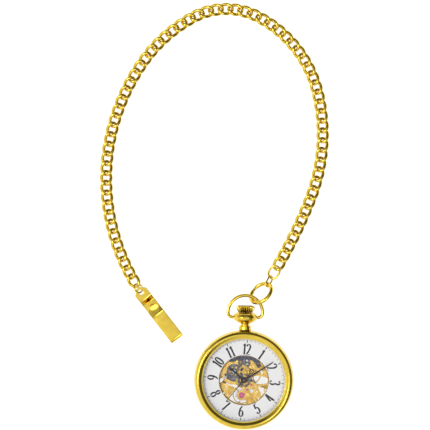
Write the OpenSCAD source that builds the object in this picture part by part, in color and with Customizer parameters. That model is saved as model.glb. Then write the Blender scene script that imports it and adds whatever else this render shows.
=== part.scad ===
// Open-face skeleton pocket watch with a centre seconds hand, a curb chain and a belt clip.
// The watch lies on its back with the dial up: +Z leaves the dial, +Y points at the pendant,
// and the origin is on the hands' axis, in the plane that the case back rests on.
// The movement is hand-wound: barrel, centre, third and fourth wheels, lever escapement.

/* [Case] */
// Radius of the case at its widest
case_r = 24; // [23:0.5:27]
// Height of the whole case, back rest to bezel bead
case_t = 12.4; // [12.2:0.2:14]
// Radius of the bore through the case band
band_bore_r = 21; // [20.8:0.1:21.4]
// Height of the case back ring
back_t = 2.2; // [2.1:0.1:2.4]
// Radius of the back's viewing window
back_window_r = 16.4; // [15:0.2:17]
// Radius of the bezel's opening over the dial
bezel_open_r = 20; // [19.4:0.1:20.2]
// Thickness of the two crystals
crystal_t = 1.1; // [0.8:0.1:1.2]

/* [Dial and hands] */
// Outer radius of the dial
dial_r = 20.2; // [20:0.1:20.6]
// Radius of the opening that shows the movement
dial_window_r = 12.1; // [11:0.1:13]
// Thickness of the dial
dial_t = 0.4; // [0.3:0.05:0.5]
// Turn of the dial about its centre, seen from the front
dial_turn = -3.7; // [-8:0.1:8]
// Reach of the hour hand from the centre
hour_len = 9.3; // [7:0.1:11]
// Reach of the minute hand from the centre
minute_len = 16.9; // [14:0.1:18]
// Reach of the seconds hand from the centre
seconds_len = 13; // [11:0.1:18]
// Clockwise angle of the hour hand from the pendant
hour_angle = -50; // [-180:1:180]
// Clockwise angle of the minute hand from the pendant
minute_angle = 57; // [-180:1:180]
// Clockwise angle of the seconds hand from the pendant
seconds_angle = 219; // [0:1:360]
// Thickness of the hands' sheet
hand_t = 0.16; // [0.12:0.02:0.2]

/* [Pendant and crown] */
// Largest radius of the pendant's bulb
bulb_r = 5.95; // [5.4:0.05:6.1]
// Largest radius of the crown
crown_r = 4.5; // [4:0.05:4.5]
// Height of the crown along the stem
crown_h = 3.6; // [3.4:0.1:3.6]
// Flutes around the crown
crown_flutes = 22; // [18:1:24]
// Radius of the winding stem
stem_r = 0.55; // [0.5:0.05:0.7]
// Travel of the crown from winding to setting
crown_pull = 0.6; // [0.4:0.1:0.6]
// Bend radius of the bow's half circle
bow_r = 8.35; // [7.9:0.05:9]
// Radius of the bow's wire
bow_wire_r = 0.8; // [0.7:0.05:0.9]

/* [Movement] */
// Outer radius of the movement
movement_r = 13.4; // [13.2:0.1:13.8]
// Thickness of the main plate
plate_t = 1; // [0.9:0.05:1.1]
// Thickness of the bridges
bridge_t = 0.7; // [0.6:0.05:0.75]
// Radius of the screws that hold the bridges
screw_r = 0.5; // [0.4:0.05:0.55]
// Running clearance of each pivot and arbor
fit = 0.03; // [0.02:0.01:0.05]
// Radius of the barrel drum
drum_r = 5.3; // [4.8:0.1:5.4]
// Centre distance of the barrel and the centre pinion
barrel_cd = 6.3; // [6.2:0.05:6.5]
// Centre distance of the centre wheel and the third wheel
third_cd = 4.72; // [4.6:0.02:4.9]
// Centre distance of the fourth wheel and the escape pinion
escape_cd = 4.25; // [4.1:0.05:4.4]
// Centre distance of the cannon pinion and the minute wheel
motion_cd = 3.9; // [3.7:0.05:4.1]
// Radius of the balance rim
balance_r = 4.3; // [3.9:0.1:4.4]
// Turns of the hairspring
hairspring_turns = 9; // [6:1:12]
// Turns of the mainspring
mainspring_turns = 7; // [5:1:9]

/* [Chain] */
// Radius of the curb chain's wire
chain_wire_r = 0.66; // [0.6:0.01:0.68]
// Width of the curb chain
chain_w = 6.2; // [6:0.05:6.4]
// Pitch of the curb links
chain_pitch = 4.73; // [4.6:0.01:4.8]
// Curb links in the chain
chain_links = 67; // [20:1:67]
// Roll of alternate links about the chain's line
chain_roll = 31; // [29:0.5:34]
// Bend radius of the ring clasp's tube
clasp_r = 5.65; // [5.4:0.05:5.8]
// Radius of the ring clasp's tube
clasp_tube_r = 0.95; // [0.8:0.05:1]

/* [Belt clip] */
// Width of the clip's strip
clip_w = 6.8; // [6:0.1:8]
// Thickness of the clip's strip
clip_t = 0.6; // [0.5:0.05:0.8]
// Length of the clip from its eye to its fold
clip_len = 28.9; // [26:0.1:32]
// Gap between the clip's back and its leaf
clip_gap = 1.5; // [1.2:0.1:2]
// Length of the clip's leaf from the fold to its lip
leaf_len = 16.2; // [12:0.1:20]

/* [Hidden] */
$fn = 72;

gold = [0.86, 0.72, 0.28];
plate_gold = [0.84, 0.68, 0.3];
steel = [0.62, 0.63, 0.66];
dark_steel = [0.22, 0.22, 0.26];
ruby = [0.72, 0.1, 0.3];
glass = [0.85, 0.9, 0.92, 0.3];

// Height of the stem's axis, half way up the case.
mid_z = case_t / 2;
crystal_z = 0.4;
// Levels of the movement, from the back to the dial, each from the stem's axis.
cock_z = mid_z - 4.3;
bridge_z = mid_z - 3.65;
fourth_z = mid_z - 2.78;
third_z = mid_z - 2.42;
centre_z = mid_z - 2;
drum_z = mid_z - 1.65;
pallet_z = mid_z - 0.95;
plate_z = mid_z + 0.1;
plate_top = plate_z + plate_t;
works_z = plate_top + 0.1;
minute_z = works_z + 0.42;
hour_z = minute_z + 0.3;
dial_z = hour_z + 0.55;
hand_z = dial_z + dial_t + 0.15;
wheel_t = 0.15;
pinion_t = 0.4;

// Teeth of every wheel and pinion.
barrel_teeth = 80;
centre_pinion_teeth = 10;
centre_teeth = 64;
third_pinion_teeth = 8;
third_teeth = 60;
fourth_pinion_teeth = 8;
fourth_teeth = 70;
escape_pinion_teeth = 7;
escape_teeth = 15;
cannon_teeth = 12;
minute_teeth = 36;
minute_pinion_teeth = 10;
hour_teeth = 40;
crown_wheel_teeth = 36;
ratchet_teeth = 44;
winding_teeth = 14;

// Centres of the train on the main plate.
barrel_angle = 140;
third_angle = 30;
escape_angle = -31;
minute_wheel_angle = 88;
function polar(r, a) = [r * cos(a), r * sin(a)];
barrel_at = polar(barrel_cd, barrel_angle);
third_at = polar(third_cd, third_angle);
escape_at = polar(escape_cd, escape_angle);
minute_at = polar(motion_cd, minute_wheel_angle);
balance_at = [-0.83, -7.3];
// The balance, pallet and escape arbors stand on one line.
line = balance_at - escape_at;
line_len = norm(line);
line_angle = atan2(line[1], line[0]);
pallet_cd = 3.2;
pallet_at = escape_at + polar(pallet_cd, line_angle);
fork_len = line_len - pallet_cd;
crown_wheel_r = 3;
crown_wheel_at = [0, 8.5];
ratchet_at_angle = atan2(crown_wheel_at[1] - barrel_at[1], crown_wheel_at[0] - barrel_at[0]);
ratchet_r = norm(crown_wheel_at - barrel_at) - crown_wheel_r;

// A flat ring, and a disc whose edge is broken by a small chamfer on its upper side.
module ring(r_out, r_in, h) {
    linear_extrude(h) difference() { circle(r_out); circle(r_in); }
}
module disc(r, h, edge = 0.1) {
    rotate_extrude() polygon([[0, 0], [r, 0], [r, h - edge], [r - edge, h], [0, h]]);
}

// Outline of a spur gear: m is the module, teeth start at angle turn.
function gear_points(n, m, turn, tip = 0.8, root = 1.1) =
    [for (i = [0 : n - 1]) let (a = turn + i * 360 / n, p = 90 / n, r = m * n / 2)
        each [polar(r - root * m, a - 1.25 * p), polar(r, a - 0.86 * p),
              polar(r + tip * m, a - 0.4 * p), polar(r + tip * m, a + 0.4 * p),
              polar(r, a + 0.86 * p), polar(r - root * m, a + 1.25 * p)]];
module gear_outline(n, m, turn = 0) { polygon(gear_points(n, m, turn)); }

// A wheel with arms: the rim carries the teeth, and the windows open the web.
module wheel(n, m, h, turn, arms, rim, hub, bore, arm_w = 0.5) {
    linear_extrude(h) difference() {
        union() {
            difference() { gear_outline(n, m, turn); circle(m * n / 2 - rim); }
            circle(hub);
            intersection() {
                circle(m * n / 2 - rim / 2);
                for (i = [0 : arms - 1]) rotate(i * 360 / arms)
                    translate([0, -arm_w / 2]) square([m * n / 2, arm_w]);
            }
        }
        circle(bore);
    }
}
module pinion(n, m, h, turn, bore = 0) {
    linear_extrude(h) difference() { gear_outline(n, m, turn); if (bore > 0) circle(bore); }
}
module shaft(at, z0, z1, r) { translate([at[0], at[1], z0]) cylinder(h = z1 - z0, r = r); }

// Modules of the four gear pairs, from their centre distances.
barrel_m = 2 * barrel_cd / (barrel_teeth + centre_pinion_teeth);
third_m = 2 * third_cd / (centre_teeth + third_pinion_teeth);
fourth_m = 2 * third_cd / (third_teeth + fourth_pinion_teeth);
escape_m = 2 * escape_cd / (fourth_teeth + escape_pinion_teeth);
cannon_m = 2 * motion_cd / (cannon_teeth + minute_teeth);
hour_m = 2 * motion_cd / (hour_teeth + minute_pinion_teeth);
crown_m = 2 * crown_wheel_r / crown_wheel_teeth;
ratchet_m = 2 * ratchet_r / ratchet_teeth;
// A gap of the follower faces the tooth of the driver on the line of centres.
function facing(a, n) = a + 180 + 180 / n;

tube_r = 0.42;
seconds_arbor_r = 0.2;
pivot_r = 0.16;
arbor_r = 0.28;

// ---------- Case ----------
band_z0 = back_t;
band_z1 = case_t - 3.2;
bezel_z0 = band_z1;
stem_hole_r = 1.5;
module case_band() color(gold) {
    difference() {
        rotate_extrude($fn = 180) difference() {
            intersection() {
                translate([band_bore_r, band_z0]) square([case_r - band_bore_r, band_z1 - band_z0]);
                translate([case_r - 9, mid_z]) circle(9, $fn = 96);
            }
            // The back's spigot and the bezel's spigot fit into these two rebates.
            translate([band_bore_r - 1, band_z0 - 1]) square([1.5, 1.9]);
            translate([band_bore_r - 1, band_z1 - 0.8]) square([1.5, 1.9]);
        }
        translate([0, 0, mid_z]) rotate([-90, 0, 0]) cylinder(h = case_r + 5, r = stem_hole_r);
        // Thumb slot that lets the back be prised off.
        translate([-case_r, -1.5, band_z0 - 0.1]) cube([1.6, 3, 0.5]);
    }
}
back_r = case_r - 1.3;
rear_crystal_r = back_window_r + 0.9;
gasket_w = 0.35;
module case_back() color(gold) rotate_extrude($fn = 180) difference() {
    union() {
        polygon([[back_window_r, 0.9], [back_window_r + 0.9, 0], [back_r - 1.6, 0],
                 [back_r - 0.5, 0.5], [back_r, 1.3], [back_r, back_t],
                 [back_window_r, back_t]]);
        translate([band_bore_r - 0.6, back_t - 0.1]) square([1.07, 0.9]);
    }
    translate([0, crystal_z]) square([rear_crystal_r + gasket_w, back_t]);
}
module rear_crystal() color(glass) translate([0, 0, crystal_z]) disc(rear_crystal_r, crystal_t);
module rear_gasket() color(dark_steel) translate([0, 0, crystal_z])
    ring(rear_crystal_r + gasket_w, rear_crystal_r, crystal_t - 0.1);

bezel_r = case_r - 0.5;
glass_r = bezel_open_r + 0.6;
glass_z = case_t - 1.75;
bead_at = [bezel_open_r + 1.9, case_t - 0.5];
module bezel() color(gold) rotate_extrude($fn = 180) difference() {
    union() {
        polygon([[bezel_open_r - 0.1, case_t - 1.2], [bead_at[0] - 0.4, bead_at[1] + 0.2],
                 [bead_at[0] + 0.4, bead_at[1] + 0.1], [bead_at[0] + 0.7, case_t - 1.5],
                 [bezel_r, case_t - 2.1], [bezel_r, bezel_z0], [bezel_open_r + 0.9, bezel_z0],
                 [bezel_open_r - 0.1, case_t - 1.6]]);
        translate(bead_at) circle(0.5, $fn = 32);
        translate([band_bore_r - 0.6, bezel_z0 - 0.7]) square([1.07, 0.8]);
    }
    // Groove that holds the crystal and its gasket.
    translate([0, glass_z]) square([glass_r + gasket_w, crystal_t * 0.6]);
    // Cove between the bead and the outer edge.
    translate([bead_at[0] + 1.15, case_t - 0.85]) circle(0.75, $fn = 32);
    translate([0, 0]) square([dial_r + 0.1, glass_z]);
}
module front_crystal() color(glass) translate([0, 0, glass_z])
    rotate_extrude($fn = 120) polygon([[0, 0], [glass_r, 0], [glass_r, crystal_t * 0.6],
        [bezel_open_r - 0.15, crystal_t * 0.6], [bezel_open_r - 0.5, crystal_t], [0, crystal_t + 0.3]]);
module crystal_gasket() color(dark_steel) translate([0, 0, glass_z])
    ring(glass_r + gasket_w, glass_r, crystal_t * 0.6 - 0.05);

ring_z0 = mid_z - 3;
module movement_ring() color(plate_gold) difference() {
    union() {
        translate([0, 0, ring_z0]) ring(band_bore_r - 0.65, movement_r + 0.03, dial_z - ring_z0);
        translate([0, 0, ring_z0]) ring(band_bore_r - 0.03, band_bore_r - 0.7, bezel_z0 - 0.75 - ring_z0);
    }
    translate([0, 0, mid_z]) rotate([-90, 0, 0]) cylinder(h = case_r, r = stem_hole_r + 0.3);
    for (a = screw_angles) translate([polar(movement_r + 0.7, a)[0], polar(movement_r + 0.7, a)[1],
        ring_z0 - 0.1]) cylinder(h = 2.1, r = 0.4);
}
screw_angles = [50, 170, 290];
// Three clamp screws, each with a tab that bears on the movement's edge.
module case_screws() color(steel) for (a = screw_angles) rotate(a)
    translate([movement_r + 0.7, 0, ring_z0]) {
        cylinder(h = 2, r = 0.4);
        difference() {
            translate([0, 0, -0.5]) cylinder(h = 0.5, r = 0.85);
            translate([-1, -0.12, -0.6]) cube([2, 0.24, 0.3]);
        }
    }
module dial() color([0.9, 0.9, 0.92]) rotate(dial_turn) translate([0, 0, dial_z])
    linear_extrude(dial_t) difference() {
        circle(dial_r - 0.05, $fn = 180);
        circle(dial_window_r);
    }
module window_ring() color(plate_gold) translate([0, 0, dial_z - 0.25])
    rotate_extrude($fn = 120) polygon([[dial_window_r - 0.25, 0], [dial_window_r + 0.8, 0],
        [dial_window_r + 0.8, 0.23], [dial_window_r - 0.03, 0.23],
        [dial_window_r - 0.03, dial_t + 0.22], [dial_window_r - 0.12, dial_t + 0.22],
        [dial_window_r - 0.25, 0.3]]);

// ---------- Pendant, crown and bow ----------
collar_y = case_r - 0.35;
neck_y = case_r + 2.3;
bulb_y = case_r + 6.2;
bulb_top_y = case_r + 8.7;
crown_y = bulb_top_y + 0.1;
pin_r = bow_wire_r - 0.1;
// A profile of radius against distance turns about the stem's axis.
module about_stem(points) translate([0, 0, mid_z]) rotate([-90, 0, 0])
    rotate_extrude($fn = 96) polygon(points);
module pendant_collar() color(gold) difference() {
    about_stem([[stem_hole_r, collar_y - 2], [2.2, collar_y - 2], [2.2, collar_y],
        [2.75, collar_y], [2.95, collar_y + 0.6], [2.95, neck_y - 0.7], [2.5, neck_y],
        [stem_hole_r, neck_y]]);
    translate([0, 0, band_z0]) cylinder(h = band_z1 - band_z0, r = case_r, $fn = 180);
}
module pendant() color(gold) difference() {
    about_stem([[1, neck_y - 1], [stem_hole_r - 0.05, neck_y - 1], [stem_hole_r - 0.05, neck_y],
        [1.85, neck_y], [1.85, neck_y + 0.7], [2.2, neck_y + 0.75], [2.2, neck_y + 1.15],
        [bulb_r - 1.9, neck_y + 1.9], [bulb_r - 0.45, bulb_y - 1.1], [bulb_r, bulb_y - 0.3],
        [bulb_r - 0.1, bulb_y + 0.4], [bulb_r - 0.6, bulb_y + 1.3], [bulb_r - 1.5, bulb_y + 2.1],
        [bulb_r - 2.6, bulb_top_y], [1, bulb_top_y]]);
    // The bow's two pivots turn in this cross bore.
    translate([-bulb_r - 1, bulb_y, mid_z]) rotate([0, 90, 0])
        cylinder(h = 2 * bulb_r + 2, r = pin_r + fit);
}
bow_corner_r = 2.2;
bow_y = bulb_y + bow_corner_r;
module wire_arc(r, w, a0, a1) rotate(a0) rotate_extrude(angle = a1 - a0)
    translate([r, 0]) circle(w, $fn = 32);
module bow() color(gold) translate([0, 0, mid_z]) {
    translate([0, bow_y]) wire_arc(bow_r, bow_wire_r, 0, 180);
    for (s = [0, 1]) mirror([s, 0, 0]) {
        translate([bow_r - bow_corner_r, bow_y]) wire_arc(bow_corner_r, bow_wire_r, -90, 0);
        translate([bow_r - bow_corner_r, bulb_y]) rotate([0, -90, 0])
            cylinder(h = 0.02, r = bow_wire_r);
        translate([bow_r - bow_corner_r, bulb_y]) rotate([0, -90, 0])
            cylinder(h = bow_r - bow_corner_r - 3.4, r = pin_r);
    }
}
flute_r = 0.42;
module crown() color(gold) difference() {
    about_stem([[0, crown_y + 0.9], [stem_r + 0.4, crown_y + 0.9], [stem_r + 0.4, crown_y],
        [crown_r - 1.05, crown_y], [crown_r - 0.75, crown_y + 0.5], [crown_r, crown_y + crown_h * 0.62],
        [crown_r - 0.25, crown_y + crown_h * 0.8], [crown_r - 1.2, crown_y + crown_h * 0.95],
        [0, crown_y + crown_h]]);
    translate([0, crown_y - 0.1, mid_z]) rotate([-90, 0, 0]) for (i = [0 : crown_flutes - 1])
        rotate(i * 360 / crown_flutes) translate([crown_r + 0.05, 0, 0])
            rotate([0, -14, 0]) cylinder(h = crown_h * 0.85, r = flute_r, $fn = 24);
}
clutch_y = 8.7;
winding_y = crown_wheel_at[1] + crown_wheel_r - 0.15;
module stem() color(steel) translate([0, 0, mid_z]) rotate([-90, 0, 0]) {
    translate([0, 0, clutch_y - 0.8]) cylinder(h = crown_y + 0.85 - clutch_y + 0.8, r = stem_r);
    translate([0, 0, crown_y]) cylinder(h = 0.85, r = stem_r + 0.37);
}
// Teeth on a pinion that turns about the stem.
module stem_pinion(y, h, r, bore) translate([0, y, mid_z]) rotate([-90, 0, 0])
    linear_extrude(h) difference() {
        gear_outline(winding_teeth, 2 * r / winding_teeth, 90);
        circle(bore);
    }
module winding_pinion() color(steel) stem_pinion(winding_y, 1.2, 1.14, stem_r + fit);
module sliding_pinion() color(steel) difference() {
    stem_pinion(clutch_y, winding_y - clutch_y - 0.1, 0.98, stem_r + fit);
    // Groove that the yoke rides in.
    translate([0, clutch_y + 0.45, mid_z]) rotate([-90, 0, 0]) difference() {
        cylinder(h = 0.45, r = 1.4);
        cylinder(h = 0.45, r = 0.72);
    }
}

// ---------- Plates and bridges ----------
// The window shows these parts of the plate, seen from the front.
hole_r = pivot_r + fit;
jewel_r = 0.55;
balance_jewel_r = 1.4;
module at(p) translate([p[0], p[1]]) children();
rim_in = dial_window_r - 0.6;
// A bar of even width from p to q with round ends.
module bar(p, q, w) {
    d = q - p;
    at(p) rotate(atan2(d[1], d[0])) translate([0, -w / 2]) square([norm(d), w]);
    at(p) circle(w / 2);
    at(q) circle(w / 2);
}
lug_at = [10.7, -4.5];
module mainplate_outline() difference() {
    union() {
        difference() { circle(movement_r, $fn = 120); circle(rim_in, $fn = 120); }
        intersection() {
            circle(movement_r - 0.5);
            union() {
                // Lower right plate, under the pallets and the escape wheel.
                polygon([[-1.2, -2.4], [1, -0.8], [4.4, -0.6], [6.8, -2.3], [7.3, -4.4],
                         [8.3, -5.9], [8.5, -8.2], [7.2, -12], [1.5, -13], [1.2, -10]]);
                // Lower left segment.
                polygon([[-13, -1.3], [-9.5, -1.7], [-5.8, -3], [-3.2, -4.2], [-5.6, -6.2],
                         [-7.4, -11], [-13, -8]]);
                // Right upper segment.
                polygon([[1.5, 1], [4.8, 1.9], [7.8, 2.3], [13, 0.6], [12, 7], [7, 12], [2, 8]]);
                // Top, under the winding work.
                polygon([[2.5, 1.5], [9, 9], [4, 13], [-9, 11], [-7.6, 8.8], [-2.2, 1.8]]);
                // Round the barrel.
                at(barrel_at) circle(drum_r + 1.1);
                circle(2.4);
            }
        }
        at(balance_at) circle(2.35);
        bar([6.9, -2.6], [12.3, -1.7], 1.1);
        at(lug_at) circle(1.05);
        bar(lug_at, [11.7, -4.9], 1.2);
    }
    circle(tube_r + fit);
    for (p = [third_at, escape_at, pallet_at, minute_at]) at(p) circle(jewel_r);
    at(balance_at) circle(balance_jewel_r);
    // The barrel shows through two crescents and its own bore.
    at(barrel_at) circle(1.1 + fit);
    at(barrel_at) intersection() {
        difference() { circle(drum_r - 0.5); circle(2.1); }
        union() {
            rotate(barrel_angle + 55) square(9);
            rotate(barrel_angle + 160) square(9);
        }
    }
    // Sight holes and screw holes.
    at([3.7, -5.1]) circle(1);
    at([1, -3]) circle(0.55);
    at([8.2, 3.9]) circle(0.8);
    at([6.4, -5.3]) circle(0.3);
    at([3, -8.3]) circle(0.3);
    at([7.2, -8.9]) circle(0.4);
    at([-8.3, -3.7]) circle(0.4);
    at([-11, -2.8]) circle(0.4);
    at([-9.5, -6.5]) circle(0.4);
    at(lug_at) circle(0.45);
}
// The plate's slot clears both pinions over the clutch's travel.
slot_from = clutch_y - 0.9 - crown_pull / 2;
module mainplate() color(plate_gold) difference() {
    translate([0, 0, plate_z]) linear_extrude(plate_t) mainplate_outline();
    // Slot for the stem and its two pinions.
    translate([-1.55, slot_from, plate_z - 0.1])
        cube([3.1, winding_y + 1.4 - slot_from, plate_t + 0.2]);
    translate([0, clutch_y, mid_z]) rotate([-90, 0, 0]) cylinder(h = 9, r = stem_r + 0.2);
}
// A bridge stands on pillars that reach up to the main plate.
pillar_r = 0.95;
train_pillars = [[10.6, -3.2], [9, 7.4], [4.6, 10.6]];
barrel_pillars = [[-10.9, -3.2], [-3.2, 11.4], [-11.9, 1]];
cock_pillar = [[4.7, -11.2]];
pallet_pillars = [[3.4, -8.7]];
barrel_bridge_r = drum_r + 0.7;
module barrel_bridge() color(plate_gold) {
    difference() {
        translate([0, 0, bridge_z]) linear_extrude(bridge_t) difference() {
            union() {
                at(barrel_at) circle(barrel_bridge_r);
                for (p = barrel_pillars) {
                    bar(p, barrel_at + (p - barrel_at) * 0.4, 2 * pillar_r);
                    at(p) circle(pillar_r);
                }
            }
            at(barrel_at) circle(1.1 + fit);
            at([0, 0]) circle(4.3);
            at(barrel_at) rotate(barrel_angle - 30) translate([3.2, 0]) circle(1);
            at(barrel_at) rotate(barrel_angle + 90) translate([3.4, 0]) circle(1.1);
        }
        for (p = barrel_pillars) shaft(p, bridge_z - 0.1, bridge_z + 1.6, screw_r * 0.6);
    }
    for (p = barrel_pillars) difference() {
        shaft(p, bridge_z + bridge_t, plate_z, pillar_r);
        shaft(p, bridge_z, bridge_z + 1.6, screw_r * 0.6);
        shaft(barrel_at, bridge_z, plate_z, drum_r + 0.5);
    }
}
module train_bridge() color(plate_gold) {
    difference() {
        translate([0, 0, bridge_z]) linear_extrude(bridge_t) difference() {
            union() {
                circle(1.5);
                bar([0, 0], third_at, 1.5);
                at(third_at) circle(1.2);
                at(escape_at) circle(1.1);
                bar([0, 0], escape_at, 1.3);
                bar(escape_at, train_pillars[0], 1.3);
                bar(third_at, train_pillars[1], 1.5);
                bar(third_at, train_pillars[2], 1.5);
                for (p = train_pillars) at(p) circle(pillar_r);
            }
            circle(jewel_r);
            at(third_at) circle(jewel_r);
            at(escape_at) circle(jewel_r);
        }
        for (p = train_pillars) shaft(p, bridge_z - 0.1, bridge_z + 1.6, screw_r * 0.6);
    }
    for (p = train_pillars) difference() {
        shaft(p, bridge_z + bridge_t, plate_z, pillar_r);
        shaft(p, bridge_z, bridge_z + 1.6, screw_r * 0.6);
    }
}
pallet_bridge_z = pallet_z - 0.7;
module pallet_bridge() color(plate_gold) {
    difference() {
        translate([0, 0, pallet_bridge_z]) linear_extrude(0.45) difference() {
            union() {
                at(pallet_at) circle(0.85);
                bar(pallet_at, pallet_pillars[0], 1);
                at(pallet_pillars[0]) circle(pillar_r);
            }
            at(pallet_at) circle(jewel_r);
        }
        shaft(pallet_pillars[0], pallet_bridge_z - 0.1, pallet_bridge_z + 1, screw_r * 0.6);
    }
    difference() {
        shaft(pallet_pillars[0], pallet_bridge_z + 0.45, plate_z, pillar_r);
        shaft(pallet_pillars[0], pallet_bridge_z, pallet_bridge_z + 1, screw_r * 0.6);
    }
}
cock_t = 0.5;
module balance_cock() color(plate_gold) {
    difference() {
        translate([0, 0, cock_z]) linear_extrude(cock_t) difference() {
            union() {
                at(balance_at) circle(1.5);
                bar(balance_at, cock_pillar[0], 1.9);
                at(cock_pillar[0]) circle(1.4);
            }
            at(balance_at) circle(jewel_r);
        }
        shaft(cock_pillar[0], cock_z - 0.1, cock_z + 1.8, screw_r * 0.6);
    }
    difference() {
        shaft(cock_pillar[0], cock_z + cock_t, plate_z, 1.05);
        shaft(cock_pillar[0], cock_z, cock_z + 1.8, screw_r * 0.6);
        shaft(balance_at, cock_z + cock_t, plate_z, balance_r + 0.35);
    }
}
module regulator() color(steel) translate([balance_at[0], balance_at[1], cock_z - 0.2])
    linear_extrude(0.17) difference() {
        union() {
            circle(1.15);
            rotate(200) translate([0, -0.18]) square([3.3, 0.36]);
            rotate(70) translate([0, -0.14]) square([2.2, 0.28]);
        }
        circle(jewel_r + 0.15);
    }
// A jewel is a ruby disc with a hole for the pivot and a shallow oil cup.
module jewel(p, z, t, r, hole) translate([p[0], p[1], z]) difference() {
    cylinder(h = t, r = r);
    translate([0, 0, -0.1]) cylinder(h = t + 0.2, r = hole);
}
module jewels() color(ruby) {
    for (p = [third_at, escape_at, pallet_at]) jewel(p, plate_z, plate_t - 0.1, jewel_r, hole_r);
    jewel(balance_at, plate_z + 0.2, plate_t - 0.35, balance_jewel_r, hole_r);
    for (p = [[0, 0], third_at, escape_at]) jewel(p, bridge_z + 0.1, bridge_t - 0.1, jewel_r, hole_r);
    jewel(pallet_at, pallet_bridge_z, 0.4, jewel_r, hole_r);
    jewel(balance_at, cock_z, cock_t, jewel_r, hole_r);
    jewel(minute_at, plate_z, plate_t - 0.1, jewel_r, 0.3 + fit);
}
module bridge_screw(p, z, l) translate([p[0], p[1], z]) {
    cylinder(h = l, r = screw_r * 0.6);
    difference() {
        translate([0, 0, -0.25]) cylinder(h = 0.25, r = screw_r + 0.15);
        rotate(35 * p[0]) translate([-1, -0.08, -0.3]) cube([2, 0.16, 0.15]);
    }
}
module bridge_screws() color(steel) {
    for (p = concat(train_pillars, barrel_pillars)) bridge_screw(p, bridge_z, 1.5);
    bridge_screw(cock_pillar[0], cock_z, 1.7);
    bridge_screw(pallet_pillars[0], pallet_bridge_z, 0.9);
}

// ---------- Winding work ----------
works_t = 0.28;
module crown_wheel() color(steel) at(crown_wheel_at) translate([0, 0, works_z])
    wheel(crown_wheel_teeth, crown_m, works_t, ratchet_at_angle + 180, 5, 1, 1.3, 0.5, 0.8);
module ratchet_wheel() color(dark_steel) translate([barrel_at[0], barrel_at[1], works_z])
    linear_extrude(works_t) difference() {
        gear_outline(ratchet_teeth, ratchet_m, ratchet_at_angle + 180 / ratchet_teeth);
        translate([-0.45, -0.45]) square(0.9);
        for (i = [0 : 5]) rotate(i * 60) translate([ratchet_r * 0.58, 0]) circle(0.55);
    }
module barrel_arbor() color(steel) translate([barrel_at[0], barrel_at[1], 0]) {
    translate([0, 0, bridge_z]) cylinder(h = drum_z - bridge_z - 0.05, r = 1.1);
    translate([0, 0, drum_z - 0.1]) cylinder(h = plate_z - drum_z + 0.2, r = 0.9);
    translate([0, 0, plate_z + 0.02]) cylinder(h = plate_t, r = 1.1);
    translate([-0.43, -0.43, plate_top]) cube([0.86, 0.86, works_z - plate_top + works_t]);
    translate([0, 0, works_z + works_t]) cylinder(h = 0.14, r = 0.85);
}
drum_h = plate_z - drum_z - 0.12;
drum_wall = 0.35;
module barrel_drum() color(plate_gold) translate([barrel_at[0], barrel_at[1], drum_z]) difference() {
    union() {
        linear_extrude(0.32) gear_outline(barrel_teeth, barrel_m, barrel_angle + 180);
        cylinder(h = drum_h, r = drum_r);
    }
    translate([0, 0, 0.3]) cylinder(h = drum_h, r = drum_r - drum_wall);
    translate([0, 0, -0.1]) cylinder(h = drum_h, r = 0.9 + fit);
}
cover_t = 0.25;
module barrel_cover() color(plate_gold)
    translate([barrel_at[0], barrel_at[1], drum_z + drum_h - cover_t]) difference() {
        cylinder(h = cover_t - 0.01, r = drum_r - drum_wall - 0.01);
        translate([0, 0, -0.1]) cylinder(h = 1, r = 0.9 + fit);
        for (i = [0 : 2]) rotate(i * 120) translate([drum_r * 0.55, 0, -0.1]) cylinder(h = 1, r = 0.7);
    }
// A flat coil: turns of a strip between two radii.
function coil(r0, r1, turns, w, steps) = let (n = turns * steps)
    concat([for (i = [0 : n]) polar(r0 + (r1 - r0) * i / n, i * 360 / steps)],
           [for (i = [n : -1 : 0]) polar(r0 + w + (r1 - r0) * i / n, i * 360 / steps)]);
module mainspring() color(dark_steel) translate([barrel_at[0], barrel_at[1], drum_z + 0.36])
    linear_extrude(drum_h - cover_t - 0.42)
        polygon(coil(1.1, drum_r - drum_wall - 0.4, mainspring_turns, 0.14, 16));
click_at = barrel_at + polar(ratchet_r + 1.75, 215);
module click() color(steel) translate([0, 0, works_z]) linear_extrude(works_t) difference() {
    union() {
        at(click_at) circle(0.75);
        at(click_at) polygon([[0.3, -0.6], [1.18, 1], [-0.5, 0.5]]);
    }
    at(click_at) circle(0.3);
}
module click_spring() color(steel) translate([click_at[0] - 1.2, click_at[1] + 1.7, works_z])
    linear_extrude(0.2) union() {
        difference() { circle(0.9); circle(0.7); translate([0, -1]) square(2); }
        translate([-0.1, -0.95]) square([0.5, 0.22]);
    }
lever_at = [4, 10.4];
module setting_lever() color(dark_steel) translate([0, 0, works_z]) linear_extrude(works_t)
    difference() {
        union() {
            at(lever_at) circle(0.95);
            bar(lever_at, [6.9, 8.9], 1.1);
            bar([6.9, 8.9], [7.8, 7], 0.8);
        }
        at(lever_at) circle(0.35);
    }
module yoke() color(dark_steel) translate([0, 0, works_z]) linear_extrude(works_t) difference() {
    union() {
        at([-4.9, 9.6]) circle(0.9);
        bar([-4.9, 9.6], [-6.9, 9], 1);
    }
    at([-4.9, 9.6]) circle(0.32);
}
setting_z = works_z + works_t + 0.04;
module setting_bridge() color(dark_steel) difference() {
    translate([0, 0, setting_z]) linear_extrude(0.2) difference() {
        union() {
            bar([-6, 9.4], [-2.6, 10.7], 1.5);
            bar([-2.6, 10.7], [2.6, 10.7], 1.7);
            bar([2.6, 10.7], [6.6, 9.2], 1.5);
            bar([4.4, 10], [6.9, 6.6], 1.1);
        }
        circle(motion_cd + minute_teeth * cannon_m / 2 + 0.5);
        for (x = [-6, 6.6]) at([x, x < 0 ? 9.4 : 9.2]) circle(0.35);
    }
}

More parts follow.
